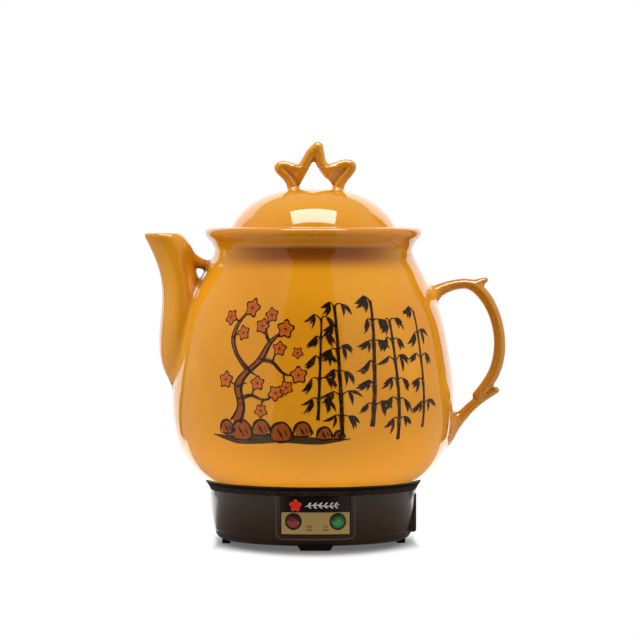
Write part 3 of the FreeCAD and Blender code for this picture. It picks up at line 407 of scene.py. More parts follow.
def smoothMin(a, b, blend):      # the union of two fields, with a fillet
    share = np.clip(0.5 + 0.5 * (b - a) / blend, 0, 1)
    return b + (a - b) * share - blend * share * (1 - share)


def smoothMax(a, b, blend):      # what two fields share, with a rounded edge
    return -smoothMin(-a, -b, blend)


def profileField(outline, reach, low, high, pitch=0.5):      # distance to a turned outline
    r, z = np.meshgrid(np.arange(0, reach, pitch), np.arange(low, high, pitch), indexing="ij")
    nearest, inside = np.full(r.shape, 1e9), np.zeros(r.shape, bool)
    for (r0, z0), (r1, z1) in zip(outline, np.roll(outline, -1, 0)):
        run, rise = r1 - r0, z1 - z0
        share = np.clip(((r - r0) * run + (z - z0) * rise) / max(run * run + rise * rise, 1e-12), 0, 1)
        if max(r0, r1) > 0:      # the axis itself is no wall
            nearest = np.minimum(nearest, (r - r0 - run * share) ** 2 + (z - z0 - rise * share) ** 2)
        if z0 != z1:
            inside ^= ((z0 > z) != (z1 > z)) & (r < r0 + run * (z - z0) / rise)
    table = np.where(inside, -1, 1) * np.sqrt(nearest)

    def read(radius, height):
        a = np.clip(radius / pitch, 0, table.shape[0] - 1.001)
        b = np.clip((height - low) / pitch, 0, table.shape[1] - 1.001)
        i, j = a.astype(int), b.astype(int)
        a, b = a - i, b - j
        return ((table[i, j] * (1 - a) + table[i + 1, j] * a) * (1 - b)
                + (table[i, j + 1] * (1 - a) + table[i + 1, j + 1] * a) * b)
    return read


def limbField(p, stations, flatness=1.0, count=110):      # stations are (x, z, thickness radius), y is 0
    line = smoothCurve(stations, count)
    nearest = np.full(len(p), 1e9)
    x, y, z = p[:, 0], p[:, 1] / flatness, p[:, 2]
    for (x0, z0, r0), (x1, z1, r1) in zip(line, line[1:]):
        run, rise = x1 - x0, z1 - z0
        share = np.clip(((x - x0) * run + (z - z0) * rise) / (run * run + rise * rise), 0, 1)
        away = np.sqrt((x - x0 - run * share) ** 2 + y * y + (z - z0 - rise * share) ** 2)
        nearest = np.minimum(nearest, away - r0 - (r1 - r0) * share)
    return nearest


def within(p, field, box, far=60.0):      # a field that is only worked out inside a box
    low, high = box
    keep = np.all((p > low) & (p < high), axis=1)
    value = np.full(len(p), far)
    if keep.any():
        value[keep] = field(p[keep])
    return value


def slopeOf(field, p, reach):
    slope = np.empty_like(p)
    for axis in range(3):
        step = np.zeros(3)
        step[axis] = reach
        slope[:, axis] = (field(p + step) - field(p - step)) / (2 * reach)
    return slope


def meshFromField(name, field, box, pitch):
    low, high = box
    axes = [np.arange(a, b, pitch) for a, b in zip(low, high)]
    shape = [len(a) for a in axes]
    grid = np.empty(shape)
    for i, x in enumerate(axes[0]):
        y, z = np.meshgrid(axes[1], axes[2], indexing="ij")
        grid[i] = field(np.stack([np.full(y.size, x), y.ravel(), z.ravel()], 1)).reshape(y.shape)
    # one point in every cell that the surface crosses, at the middle of its edges' crossings
    total = np.zeros([s - 1 for s in shape] + [3])
    crossings = np.zeros([s - 1 for s in shape])
    for axis in range(3):
        for da in (0, 1):
            for db in (0, 1):
                others = [a for a in range(3) if a != axis]
                start = [slice(0, s - 1) for s in shape]
                start[others[0]] = slice(da, shape[others[0]] - 1 + da)
                start[others[1]] = slice(db, shape[others[1]] - 1 + db)
                end = list(start)
                end[axis] = slice(1, shape[axis])
                a, b = grid[tuple(start)], grid[tuple(end)]
                crossed = (a < 0) != (b < 0)
                share = np.where(crossed, a / np.where(crossed, a - b, 1), 0)
                place = np.zeros(3)
                place[others[0]], place[others[1]] = da, db
                total[crossed] += place
                total[..., axis] += share
                crossings += crossed
    active = crossings > 0
    number = np.full(active.shape, -1)
    number[active] = np.arange(active.sum())
    cells = np.argwhere(active)
    points = (cells + total[active] / crossings[active][:, None]) * pitch + np.array(low)
    faces = []
    for axis in range(3):
        one, two = [(1, 2), (2, 0), (0, 1)][axis]
        a = grid[tuple(slice(0, s - 1) if i == axis else slice(0, s) for i, s in enumerate(shape))]
        b = grid[tuple(slice(1, s) if i == axis else slice(0, s) for i, s in enumerate(shape))]
        edges = np.argwhere((a < 0) != (b < 0))
        edges = edges[(edges[:, one] > 0) & (edges[:, two] > 0)]
        edges = edges[(edges[:, one] < shape[one] - 1) & (edges[:, two] < shape[two] - 1)]
        outward = a[tuple(edges.T)] < 0
        corners = []
        for back in ((1, 1), (0, 1), (0, 0), (1, 0)):
            cell = edges.copy()
            cell[:, one] -= back[0]
            cell[:, two] -= back[1]
            corners.append(number[tuple(cell.T)])
        quads = np.stack(corners, 1)
        faces.append(np.where(outward[:, None], quads, quads[:, ::-1]))
    faces = np.concatenate(faces)
    for turn in range(4):      # settle the points on the surface itself
        slope = slopeOf(field, points, 0.06)
        move = field(points)[:, None] * slope / np.maximum((slope ** 2).sum(1), 0.2)[:, None]
        points -= np.clip(move, -0.6 * pitch, 0.6 * pitch)
    slope = slopeOf(field, points, 0.3)
    mesh = bpy.data.meshes.new(name)
    mesh.from_pydata((points * mm).tolist(), [], faces.tolist())
    mesh.shade_smooth()
    mesh.normals_split_custom_set_from_vertices((slope / np.linalg.norm(slope, axis=1)[:, None]).tolist())
    print(name, "mesh:", len(points), "points")
    return addPiece(name, mesh)


def addPiece(name, mesh):
    piece = bpy.data.objects.new(name, mesh)
    bpy.context.scene.collection.objects.link(piece)
    return piece


pitch = {"pot": 1.4, "lid": 0.8}      # mm between mesh points


# pot with spout, bridge and handle; outlines are (radius, height) or (height, reach)
pot = {
    "side": [(44.0, 34.0), (66.9, 40.7), (82.2, 48.9), (94.0, 61.9), (105.5, 109.0), (101.5, 144.5),
             (92.85, 178.9), (82.7, 200.0), (77.9, 209.6), (75.3, 214.8), (74.0, 219.5)],
    "rim": [(74.0, 219.5), (77.2, 225.6), (81.2, 231.6), (80.2, 234.9), (76.6, 236.2)],
    "wall": 5.0, "neckInner": 69.0, "neckFoot": 218.0, "recessRadius": 73.6, "ledgeHeight": 231.4,
    "edge": 1.2,
    "strainerHoles": [(y, z) for y in (-8, 0, 8) for z in (142, 150, 158)],
    "holeRadius": 2.2, "holeMiddle": -93.0, "holeReach": 13.0,
    "box": [(-131, -109, 31), (148, 109, 239)],
}
spout = {
    "outer": [(113, 103.5), (131, 112.8), (154, 115.7), (196, 114.3), (214.9, 119.6), (231.7, 127.8)],
    "inner": [(113, 77.7), (154, 82.6), (196, 85.6), (210.3, 88.6), (219.6, 90.2), (231.7, 98.6)],
    "halfWidth": [(113, 8.2), (131, 21.5), (154, 27.5), (196, 20.2), (215.6, 15.0), (231.7, 13.0)],
    "wall": 3.6, "mouth": 232.3, "mouthRound": 4.2, "channelFloor": 127.0, "blend": 4.6, "edge": 1.6,
    "box": [(-140, -40, 100), (-60, 40, 245)],
}
bridge = {
    "line": [(-72, 208.6, 4.8), (-80, 208.0, 3.9), (-86.5, 210.2, 4.2), (-95, 215.5, 5.2)],
    "ridge": [(-77.2, 206.5, 3.1), (-82.2, 196.0, 2.7), (-87.8, 184.0, 2.2)],
    "flatness": 1.25, "blend": 2.0, "box": [(-100, -14, 178), (-60, 14, 230)],
}
handle = {
    "bow": [(84.0, 181.5, 6.4), (94.2, 188.8, 5.1), (106.7, 193.2, 4.1), (117.2, 193.4, 4.3),
            (125.9, 187.8, 4.7), (134.5, 174.4, 4.5), (139.9, 149.0, 4.5), (135.0, 126.0, 4.6),
            (123.6, 110.0, 4.3)],
    "branch": [(137.0, 114.0, 2.8), (131.0, 110.6, 3.2), (123.5, 105.9, 3.8), (114.5, 97.6, 4.1),
               (106.2, 88.6, 5.2), (97.6, 79.0, 8.0)],
    "thorn": [(119.9, 192.8, 3.4), (125.6, 195.2, 3.1), (129.2, 196.8, 2.1)],
    "flatness": 1.4, "thornBlend": 2.5, "overlapBlend": 0.5, "blend": 6.5,
    "box": [(70, -22, 60), (160, 22, 215)],
}

potSide = np.concatenate([smoothCurve(pot["side"], 260), smoothCurve(pot["rim"], 70)[1:]])
potOutline = np.concatenate([[(0.0, pot["side"][0][1])], potSide, [(0.0, pot["rim"][-1][1])]])
potOuter = profileField(potOutline, 160, 26, 246)
spoutOuter = smoothLine(*zip(*spout["outer"]))
spoutInner = smoothLine(*zip(*spout["inner"]))
spoutWidth = smoothLine(*zip(*spout["halfWidth"]))


def spoutField(p, inset):      # oval sections, drawn in by inset
    x, y, z = p.T
    outer, inner = spoutOuter(z), spoutInner(z)
    across = (x + (outer + inner) / 2) / ((outer - inner) / 2 - inset)
    deep = y / (spoutWidth(z) - inset)
    size = np.hypot(across, deep)
    steep = np.hypot(across / ((outer - inner) / 2 - inset), deep / (spoutWidth(z) - inset))
    return (size - 1) * size / np.maximum(steep, 1e-4)


def handleField(p):
    bow = limbField(p, handle["bow"], handle["flatness"])
    branch = limbField(p, handle["branch"], handle["flatness"])
    thorn = limbField(p, handle["thorn"], handle["flatness"], 12)
    return smoothMin(smoothMin(bow, thorn, handle["thornBlend"]), branch, handle["overlapBlend"])


def potField(p):
    x, y, z = p.T
    radius = np.hypot(x, y)
    outer = potOuter(radius, z)
    solid = within(p, lambda q: smoothMax(spoutField(q, 0), q[:, 2] - spout["mouth"], spout["mouthRound"]),
                   spout["box"])
    shape = smoothMin(outer, solid, spout["blend"])
    for name in ("line", "ridge"):
        strut = within(p, lambda q: limbField(q, bridge[name], bridge["flatness"], 20), bridge["box"])
        shape = smoothMin(shape, strut, bridge["blend"])
    shape = smoothMin(shape, within(p, handleField, handle["box"]), handle["blend"])
    hollow = np.minimum(outer + pot["wall"], np.maximum(radius - pot["neckInner"], pot["neckFoot"] - z))
    hollow = np.minimum(hollow, np.maximum(radius - pot["recessRadius"], pot["ledgeHeight"] - z))
    shape = smoothMax(shape, -hollow, pot["edge"])
    channel = within(p, lambda q: np.maximum(spoutField(q, spout["wall"]), spout["channelFloor"] - q[:, 2]),
                     spout["box"])
    shape = smoothMax(shape, -np.maximum(channel, -outer), spout["edge"])
    for holeY, holeZ in pot["strainerHoles"]:
        hole = np.hypot(y - holeY, z - holeZ) - pot["holeRadius"]
        shape = np.maximum(shape, -np.maximum(hole, np.abs(x - pot["holeMiddle"]) - pot["holeReach"]))
    return shape


glazedPot = meshFromField("glazedPot", potField, pot["box"], pitch["pot"])
glazedPot.data.materials.append(finishes["amber_glaze"])
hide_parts("pot_body", "spout", "spout_bridge", "handle")
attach(glazedPot, "pot")


# lid with branch knob; the knob's stations are (x, z, thickness radius)
lid = {
    "flangeRadius": 73.0, "flangeLow": 231.7, "flangeHigh": 235.1, "wall": 5.0,
    "domeRadius": 68.6, "domeFoot": 200.0, "domeTop": 265.6, "domeShape": 2.45,
    "domeStart": 0.44, "domeCut": 229.0,
    "skirtOuter": 66.2, "skirtInner": 61.6, "skirtLow": 222.2, "hollowRadius": 56.6,
    "ventPlace": 42.0, "ventRadius": 2.2,
    "box": [(-75, -75, 219), (75, 75, 303)],
}
knob = {
    "leftFork": [(-10.8, 276.0, 3.9), (-7.6, 281.5, 4.1), (-4.6, 286.6, 4.1), (-1.4, 292.0, 4.1),
                 (3.3, 296.2, 4.1)],
    "rightFork": [(3.3, 296.2, 4.1), (4.2, 291.5, 4.1), (5.4, 286.0, 4.1), (8.0, 281.0, 4.1),
                  (11.4, 276.2, 3.9)],
    "leftProng": [(-13.0, 260.0, 4.4), (-15.9, 267.7, 4.0), (-21.0, 275.4, 3.6), (-25.3, 281.7, 3.7),
                  (-22.4, 282.6, 3.6), (-16.4, 280.9, 3.7), (-10.6, 279.4, 3.8)],
    "rightProng": [(16.6, 260.0, 4.4), (19.7, 268.5, 4.0), (24.8, 275.6, 3.5), (28.0, 282.7, 3.8),
                   (25.2, 283.7, 3.6), (18.6, 282.2, 3.7), (11.6, 279.8, 3.8)],
    "webs": [[(-11.4, 266.0), (-27.2, 282.8), (-2.9, 281.2)], [(15.0, 267.0), (29.4, 283.4), (4.0, 281.2)],
             [(-1.6, 285.2), (5.6, 285.2), (3.0, 294.0)]],
    "webThin": 0.9, "webSlope": 0.36, "webReach": 9.2, "blend": 0.8, "footBlend": 3.0, "foot": 262.0,
    "flatness": 1.05, "box": [(-40, -14, 255), (40, 14, 306)],
}

domeRise = 1 - (1 - lid["domeStart"]) * np.linspace(1, 0, 160) ** 2.5      # closer stations at the top
domeReach = lid["domeRadius"] * (1 - domeRise ** lid["domeShape"]).clip(0) ** (1 / lid["domeShape"])
domeLine = np.stack([domeReach, lid["domeFoot"] + (lid["domeTop"] - lid["domeFoot"]) * domeRise], 1)
domeOutline = np.concatenate([[(0.0, lid["domeCut"] - 1), (domeLine[0][0], lid["domeCut"] - 1)],
                              domeLine[domeLine[:, 1] > lid["domeCut"]]])
domeField = profileField(domeOutline, 90, 215, 275)


def ringField(radius, z, inner, outer, low, high, corner):      # a turned ring with rounded corners
    a = np.abs(radius - (inner + outer) / 2) - (outer - inner) / 2 + corner
    b = np.abs(z - (low + high) / 2) - (high - low) / 2 + corner
    return np.hypot(np.maximum(a, 0), np.maximum(b, 0)) + np.minimum(np.maximum(a, b), 0) - corner


def webField(p, corners):      # a thin convex plate between the knob's bars
    x, z = p[:, 0], p[:, 2]
    corners = np.array(corners)
    middle = corners.mean(0)
    edges = []
    for (x0, z0), (x1, z1) in zip(corners, np.roll(corners, -1, 0)):
        nx, nz = z1 - z0, x0 - x1
        length = math.hypot(nx, nz) * (1 if (middle[0] - x0) * nx + (middle[1] - z0) * nz < 0 else -1)
        edges.append(((x - x0) * nx + (z - z0) * nz) / length)
    fromBar = np.clip(-edges[0], 0, knob["webReach"])      # thickest far from the outer bar
    thickness = knob["webThin"] + knob["webSlope"] * fromBar
    return np.maximum(np.maximum.reduce(edges), (np.abs(p[:, 1]) - thickness) * 0.95)


def knobField(p):
    shape = limbField(p, knob["leftFork"], knob["flatness"], 80)
    for name in ("rightFork", "leftProng", "rightProng"):
        shape = smoothMin(shape, limbField(p, knob[name], knob["flatness"], 80), knob["blend"])
    for corners in knob["webs"]:
        shape = smoothMin(shape, webField(p, corners), knob["blend"])
    return shape


def lidField(p):
    x, y, z = p.T
    radius = np.hypot(x, y)
    dome = domeField(radius, z)
    flange = ringField(radius, z, -lid["flangeRadius"], lid["flangeRadius"], lid["flangeLow"],
                       lid["flangeHigh"], 1.4)
    shape = smoothMin(np.maximum(dome, lid["flangeLow"] - z), flange, 1.6)
    skirt = ringField(radius, z, lid["skirtInner"], lid["skirtOuter"], lid["skirtLow"],
                      lid["flangeHigh"], 1.6)
    shape = smoothMin(shape, skirt, 1.2)
    crown = within(p, knobField, knob["box"])
    shape = smoothMin(shape, np.maximum(crown, knob["foot"] - z), knob["footBlend"])
    hollow = np.minimum(dome + lid["wall"], np.maximum(radius - lid["hollowRadius"], z - lid["flangeHigh"]))
    shape = smoothMax(shape, -hollow, 1.2)
    vent = np.hypot(x, y - lid["ventPlace"]) - lid["ventRadius"]
    return smoothMax(shape, -vent, 1.0)


glazedLid = meshFromField("glazedLid", lidField, lid["box"], pitch["lid"])
glazedLid.data.materials.append(finishes["amber_glaze"])
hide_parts("lid", "lid_knob")
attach(glazedLid, "lid")


# printed decoration: bamboo and a blossom tree in brush strokes, each layer a little further out
artwork = {
    "lift": 0.20, "printRadius": 105.5, "lowest": 50.0, "step": 1.3,
    "layers": {"earth": 0.9990, "rust": 0.9994, "ink": 1.0, "blossom": 1.0006, "heart": 1.0012},
    "inkBlack": (0.020, 0.008, 0.003, 1), "rust": (0.30, 0.062, 0.006, 1),
    "orange": (0.62, 0.125, 0.012, 1), "earth": (0.055, 0.032, 0.012, 1),
}
sideRadii, sideHeights = potSide[potSide[:, 1] > artwork["lowest"]].T


def onPot(layer):      # turns a run round the belly and a height, in mm, into a place on the glaze
    scale = artwork["layers"][layer]

    def place(u, z):
        radius = np.interp(z, sideHeights, sideRadii) + artwork["lift"]
        turn = u / artwork["printRadius"]
        return (radius * math.sin(turn) * mm * scale, -radius * math.cos(turn) * mm * scale, z * mm)
    return place


def onDrum(drumRadius):      # the same on an upright face of the base
    def place(u, z):
        radius = drumRadius + panel["lift"]
        turn = u / drumRadius
        return (radius * math.sin(turn) * mm, -radius * math.cos(turn) * mm, z * mm)
    return place


class Sheet:      # flat marks that lie on a curved face
    def __init__(self, name, colour, where, slot):
        self.name, self.colour, self.where, self.slot = name, colour, where, slot
        self.points, self.faces = [], []

    def add(self, marks):
        start = len(self.points)
        self.points += [self.where(u, z) for u, z in marks]
        return start

    def stroke(self, path, widths, step=artwork["step"]):      # a brush stroke: widths along a smooth path
        length = np.linalg.norm(np.diff(np.array(path, float), axis=0), axis=1).sum()
        count = max(3, int(length / step) + 2)
        line = smoothCurve(path, count) if len(path) > 2 else np.linspace(path[0], path[1], count)
        heading = np.gradient(line, axis=0)
        heading /= np.linalg.norm(heading, axis=1)[:, None]
        across = np.stack([-heading[:, 1], heading[:, 0]], 1)
        width = np.interp(np.linspace(0, 1, count), np.linspace(0, 1, len(widths)), widths)[:, None] / 2
        columns = 4 if max(widths) > 4 else 2      # a broad stroke follows the curve in more strips
        last = None
        for i in range(count):
            row = self.add([line[i] + across[i] * width[i] * (2 * c / columns - 1)
                            for c in range(columns + 1)])
            if last is not None:
                for c in range(columns):
                    self.faces.append((last + c, row + c, row + c + 1, last + c + 1))
            last = row

    def spot(self, u, z, size, lobes=0, depth=0.0, turn=0.0, stretch=1.0):      # a filled dot or blossom
        count, ring = 40, []
        for i in range(count):
            a = 2 * math.pi * i / count
            radius = size * (1 + depth * math.cos(lobes * a))
            x, y = radius * math.cos(a) * stretch, radius * math.sin(a)
            ring.append((u + x * math.cos(turn) - y * math.sin(turn),
                         z + x * math.sin(turn) + y * math.cos(turn)))
        centre = self.add([(u, z)])
        inner = self.add([((a + u) / 2, (b + z) / 2) for a, b in ring])
        outer = self.add(ring)
        for i in range(count):
            j = (i + 1) % count
            self.faces += [(centre, inner + i, inner + j), (inner + i, outer + i, outer + j, inner + j)]

    def finish(self):
        mesh = bpy.data.meshes.new(self.name)
        mesh.from_pydata(self.points, [], self.faces)
        mesh.shade_smooth()
        facing = [Vector((x, y, 0)).normalized() for x, y, z in self.points]
        mesh.normals_split_custom_set_from_vertices(facing)
        mesh.materials.append(makeInk(self.name, self.colour))
        piece = addPiece(self.name, mesh)
        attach(piece, "pot")


def leaf(sheet, u, z, length, angle, width):
    turn = math.radians(angle)
    bow = length * 0.10
    middle = (u + math.cos(turn) * length / 2 - math.sin(turn) * bow,
              z + math.sin(turn) * length / 2 + math.cos(turn) * bow)
    end = (u + math.cos(turn) * length, z + math.sin(turn) * length)
    sheet.stroke([(u, z), middle, end], [0.4, width * 0.8, width, width * 0.6, 0.1])


def bambooStalk(sheet, u, foot, top, lean, width, joints):      # thinner upwards, a gap at each joint
    for i in range(joints):
        low = foot + (top - foot) * i / joints + 0.6
        high = foot + (top - foot) * (i + 1) / joints - 0.6
        a, b = u + lean * i / joints, u + lean * (i + 1) / joints
        w = width * (1 - 0.35 * i / joints)
        sheet.stroke([(a, low), ((a + b) / 2 + 0.2, (low + high) / 2), (b, high)],
                     [w * 1.15, w, w * 0.9, w, w * 1.15])
        sheet.stroke([(b - w * 0.8, high + 0.7), (b, high + 0.2), (b + w * 0.8, high + 0.7)],
                     [0.3, 0.9, 0.3])


random.seed(7)
earth = Sheet("earthWash", artwork["earth"], onPot("earth"), "amber_glaze")
rust = Sheet("rustStrokes", artwork["rust"], onPot("rust"), "amber_glaze")
black = Sheet("inkStrokes", artwork["inkBlack"], onPot("ink"), "amber_glaze")
orange = Sheet("blossoms", artwork["orange"], onPot("blossom"), "amber_glaze")
hearts = Sheet("blossomHearts", artwork["inkBlack"], onPot("heart"), "amber_glaze")

# bamboo: run, foot, top, lean, width and number of joints
stalks = [(1, 97, 170, 3, 2.3, 5), (19, 83, 179, -4, 3.2, 6), (42, 92, 183, 5, 3.5, 6),
          (65, 82, 168, -3, 3.0, 6), (89, 90, 175, 2, 2.5, 5)]
for u, foot, top, lean, width, joints in stalks:
    bambooStalk(black, u, foot, top, lean, width, joints)
    for i in range(1, joints + 1):
        z = foot + (top - foot) * i / joints
        at = u + lean * i / joints
        for side in random.sample((-1, 1, 1, -1), 2):
            twig = (at + side * random.uniform(3.5, 6.0), z + random.uniform(1.5, 4.5))
            black.stroke([(at, z), ((at + twig[0]) / 2, z + 2.2), twig], [1.2, 0.9, 0.6])
            for blade in range(random.choice((3, 3, 4))):
                angle = -90 + side * random.uniform(4, 68)
                leaf(black, twig[0], twig[1], random.uniform(8.0, 13.0), angle, random.uniform(2.0, 3.4))

# stones on a strip of dark ground, at the foot of the tree
earth.stroke([(-84, 86), (-60, 83), (-30, 84.5), (0, 82.5), (26, 84)], [0.5, 6.5, 7.5, 6.0, 5.0, 0.4])
stones = [(-70, 92, 6.5), (-57, 90, 9.5), (-41, 92, 7.5), (-26, 89, 9), (-10, 91, 7), (6, 88, 6),
          (17, 87, 4)]
for u, z, size in stones:
    rust.spot(u, z - size * 0.1, size * 0.78, 3, 0.06, 0.5, 1.15)
    black.stroke([(u - size, z - size * 0.6), (u - size * 0.55, z + size * 0.55),
                  (u + size * 0.2, z + size * 0.75), (u + size, z - size * 0.5)], [0.6, 2.2, 1.4, 1.0, 2.6])
    black.stroke([(u - size * 0.3, z + size * 0.3), (u - size * 0.1, z - 1), (u + size * 0.2, z - size * 0.6)],
                 [0.3, 1.8, 0.4])
    black.stroke([(u + size * 0.3, z + size * 0.2), (u + size * 0.5, z - size * 0.4)], [0.3, 1.0, 0.3])
    black.stroke([(u - size, z - size * 0.62), (u, z - size * 0.8), (u + size, z - size * 0.55)],
                 [0.4, 1.7, 0.4])

# the tree's boughs, rust between black outlines, each with its widths in mm
boughs = [
    ([(-62, 96), (-57, 108), (-60, 121), (-52, 133), (-43, 141), (-36, 153), (-24, 162)],
     [8.5, 5.6, 6.2, 4.6, 4.4, 3.0, 1.4]),
    ([(-52, 133), (-62, 143), (-68, 156), (-64, 168), (-55, 177)], [4.6, 3.2, 3.4, 2.2, 1.0]),
    ([(-43, 141), (-33, 139), (-24, 131), (-14, 130)], [4.0, 2.8, 2.0, 0.8]),
    ([(-58, 112), (-48, 115), (-39, 112), (-31, 116)], [3.4, 2.6, 1.8, 0.7]),
    ([(-36, 153), (-40, 163), (-36, 172)], [2.6, 1.8, 0.7]),
]
for path, widths in boughs:
    rust.stroke(path, widths)
    for side, share in ((-1, 0.14), (1, 0.26)):
        black.stroke([(u + side * w * 0.46, z - side * w * 0.12) for (u, z), w in zip(path, widths)],
                     [0.5 + w * share for w in widths])
    for (u, z), w in list(zip(path, widths))[:-1]:
        black.stroke([(u - w * 0.25, z + 1.6), (u, z + 0.4), (u + w * 0.22, z + 1.2)], [0.2, 0.8, 0.2], 0.6)
twigs = [(-36, 153, -7, 12), (-64, 168, -9, 3), (-60, 121, -10, 5), (-33, 139, 5, 10), (-24, 131, 2, -9),
         (-48, 115, 4, 8), (-68, 156, 8, 5), (-39, 112, -2, -8), (-60, 121, 8, 3), (-52, 133, 9, -5)]
for u, z, du, dz in twigs:
    black.stroke([(u, z), (u + du * 0.5 - 0.8, z + dz * 0.5 + 0.6), (u + du, z + dz)], [1.6, 1.1, 0.5])

# five-petalled blossoms: run, height and size
blossoms = [(-24, 163, 5.6), (-43, 165, 4.6), (-54, 178, 5.6), (-73, 171, 4.6), (-71, 126, 5.0),
            (-28, 149, 4.4), (-13, 130, 5.2), (-22, 121, 4.2), (-44, 124, 4.4), (-30, 117, 4.6),
            (-59, 160, 4.4), (-41, 104, 4.0), (-36, 173, 4.4), (-14, 146, 3.4)]
for u, z, size in blossoms:
    turn = random.uniform(0, 6.28)
    black.spot(u, z, size * 1.12, 5, 0.18, turn)
    orange.spot(u, z, size * 0.90, 5, 0.20, turn)
    hearts.spot(u, z, size * 0.16)
    for i in range(5):
        a = 2 * math.pi * i / 5 + 0.4
        hearts.stroke([(u + 0.25 * size * math.cos(a), z + 0.25 * size * math.sin(a)),
                       (u + 0.52 * size * math.cos(a), z + 0.52 * size * math.sin(a))], [0.35, 0.25], 0.5)
for sheet in (earth, rust, black, orange, hearts):
    sheet.finish()
print("artwork printed")


# marks on the lamp panel
sprig = {"height": 33.8, "leaves": (-5.5, -1.5, 2.5, 6.5, 10.5, 14.0), "angle": math.radians(38),
         "blossom": -14.8}
faceRadius, halfWidth = panel["faceRadius"], panel["halfWidth"]
panelLow, border = panel["low"], panel["border"]

cream = Sheet("panelSprig", panel["cream"], onDrum(faceRadius), "panel_face")
cream.stroke([(-7.5, 33.2), (0, 34.2), (8, 33.4), (17.5, 34.4)], [0.5, 0.8, 0.6, 0.3], 0.4)
for u in sprig["leaves"]:
    for side in (-1, 1):
        z = sprig["height"]
        tip = (u + 3.4 * math.cos(sprig["angle"]), z + side * 3.3 * math.sin(sprig["angle"]) + 0.2)
        cream.stroke([(u, z), ((u + tip[0]) / 2 - 0.2, (z + tip[1]) / 2 + side * 0.35), tip],
                     [0.25, 1.1, 0.9, 0.1], 0.4)
red = Sheet("panelBlossom", panel["red"], onDrum(faceRadius), "panel_face")
for i in range(5):
    a = 2 * math.pi * i / 5 + math.pi / 2
    red.spot(sprig["blossom"] + 2.5 * math.cos(a), sprig["height"] + 2.5 * math.sin(a), 1.75, turn=a,
             stretch=1.25)
marks = Sheet("panelMarks", panel["black"], onDrum(faceRadius), "panel_face")
for middle, wisps in ((-4.6, (-1.6, 0, 1.6)), (7.4, (-0.8, 0.8))):      # steam over a bowl, twice
    marks.stroke([(middle - 2.4, 16.5), (middle, 15.9), (middle + 2.4, 16.5)], [0.3, 0.7, 0.3], 0.4)
    for aside in wisps:
        u = middle + aside
        marks.stroke([(u, 17.3), (u + 0.4, 18.1), (u - 0.3, 18.9), (u + 0.1, 19.6)],
                     [0.25, 0.5, 0.45, 0.2], 0.3)
for side in (-1, 1):      # the dark border of the plate
    edge = side * (halfWidth - border / 2)
    marks.stroke([(edge, panelLow), (edge, panel["high"])], [border, border])
marks.stroke([(-halfWidth, panelLow + border / 2), (halfWidth, panelLow + border / 2)], [border, border])

# painted highlight: lighter strips along the bezel's edges
bezelHighlight = Sheet("bezelHighlight", panel["bezelHighlight"], onDrum(panel["bezelRadius"]), "satin_brown")
low, corner = panel["bezelLow"], panel["bezelCorner"]
for side in (-1, 1):
    edge = side * panel["bezelHalf"]
    bezelHighlight.stroke([(edge, panel["high"]), (edge, low + 12), (edge, low + corner)], [0.7, 0.6, 0.6])
    bezelHighlight.stroke([(edge, low + corner), (edge - side * 1.4, low + 1.4), (edge - side * corner, low)],
                     [0.6, 0.6, 0.6], 0.6)
bezelHighlight.stroke([(corner - panel["bezelHalf"], low), (panel["bezelHalf"] - corner, low)], [0.6, 0.6])
for sheet in (cream, red, marks, bezelHighlight):
    sheet.finish()
print("panel marked")


# floor, mirrored room and lights; turns are degrees from the camera's side
studio = {
    "skyLight": 0.01, "gapAim": -4.0, "gapHalf": 28.0, "gap": 0.04, "side": 0.42, "sideEnd": 129.0,
    "backdropAim": 1.0, "backdropFrom": 135.0, "backdropTaper": 8.0, "backdropSpread": 17.0,
    "backdropLow": 1.12, "backdropHigh": 1.35, "backdropFoot": 0.4, "backdropTop": 0.60,
    "box": (1.02, 0.73), "boxPlace": (0, -0.266, 1.529), "boxAim": (0, 0.518, 0), "boxPower": 20.4,
    "sideTurn": 85.0, "sideRise": 30.0, "sideSun": 2.0, "sideSoft": 50.0,
    "topRise": 75.0, "topSun": 2.1, "topSoft": 30.0,
    "tableEnd": 0.24, "tableMirrored": 0.34, "tableNear": 0.95, "tableFar": 0.45,
    "tableBehind": (118.0, 128.0), "eyeHeight": 0.12,
    "shadowPaper": 0.13, "shadowFill": 0.135, "shadowAcross": 64.0, "shadowDeep": 88.0,
    "shadowCorner": 0.38, "shadowFade": (0.97, 1.48), "shadowAside": 1.4, "shadowEnds": (70.0, 78.0),
}


def grey(level):
    return (level, level, level, 1)


def roomLevel(shader, turn, z):      # what gloss mirrors: dark front, lit sides, bright backdrop
    def past(value, edge, fade):
        return shader.step(value, edge - fade, edge + fade)

    away = abs(turn - studio["gapAim"])
    level = shader.between(past(away, studio["gapHalf"], 0.7), studio["gap"], studio["side"])
    level = shader.between(past(away, studio["sideEnd"], 0.7), level, studio["gap"])
    low, above = 1 - shader.step(z, -0.38, -0.22), past(z, studio["backdropTop"], 0.02)
    level = shader.between(above * shader.step(abs(turn), 90.0, 92.0), level, studio["side"])
    taper = (1 - shader.step(z, -0.3, 0.6)) * studio["backdropTaper"]      # the backdrop narrows upwards
    start = taper + studio["backdropFrom"] - low * studio["backdropSpread"]
    behind = shader.step(abs(turn - studio["backdropAim"]) - start, -1.0, 1.0) * (1 - above)
    backdrop = shader.between(shader.step(z, 0.05, 0.5), studio["backdropLow"], studio["backdropHigh"])
    return shader.between(behind, level, backdrop + low * studio["backdropFoot"])


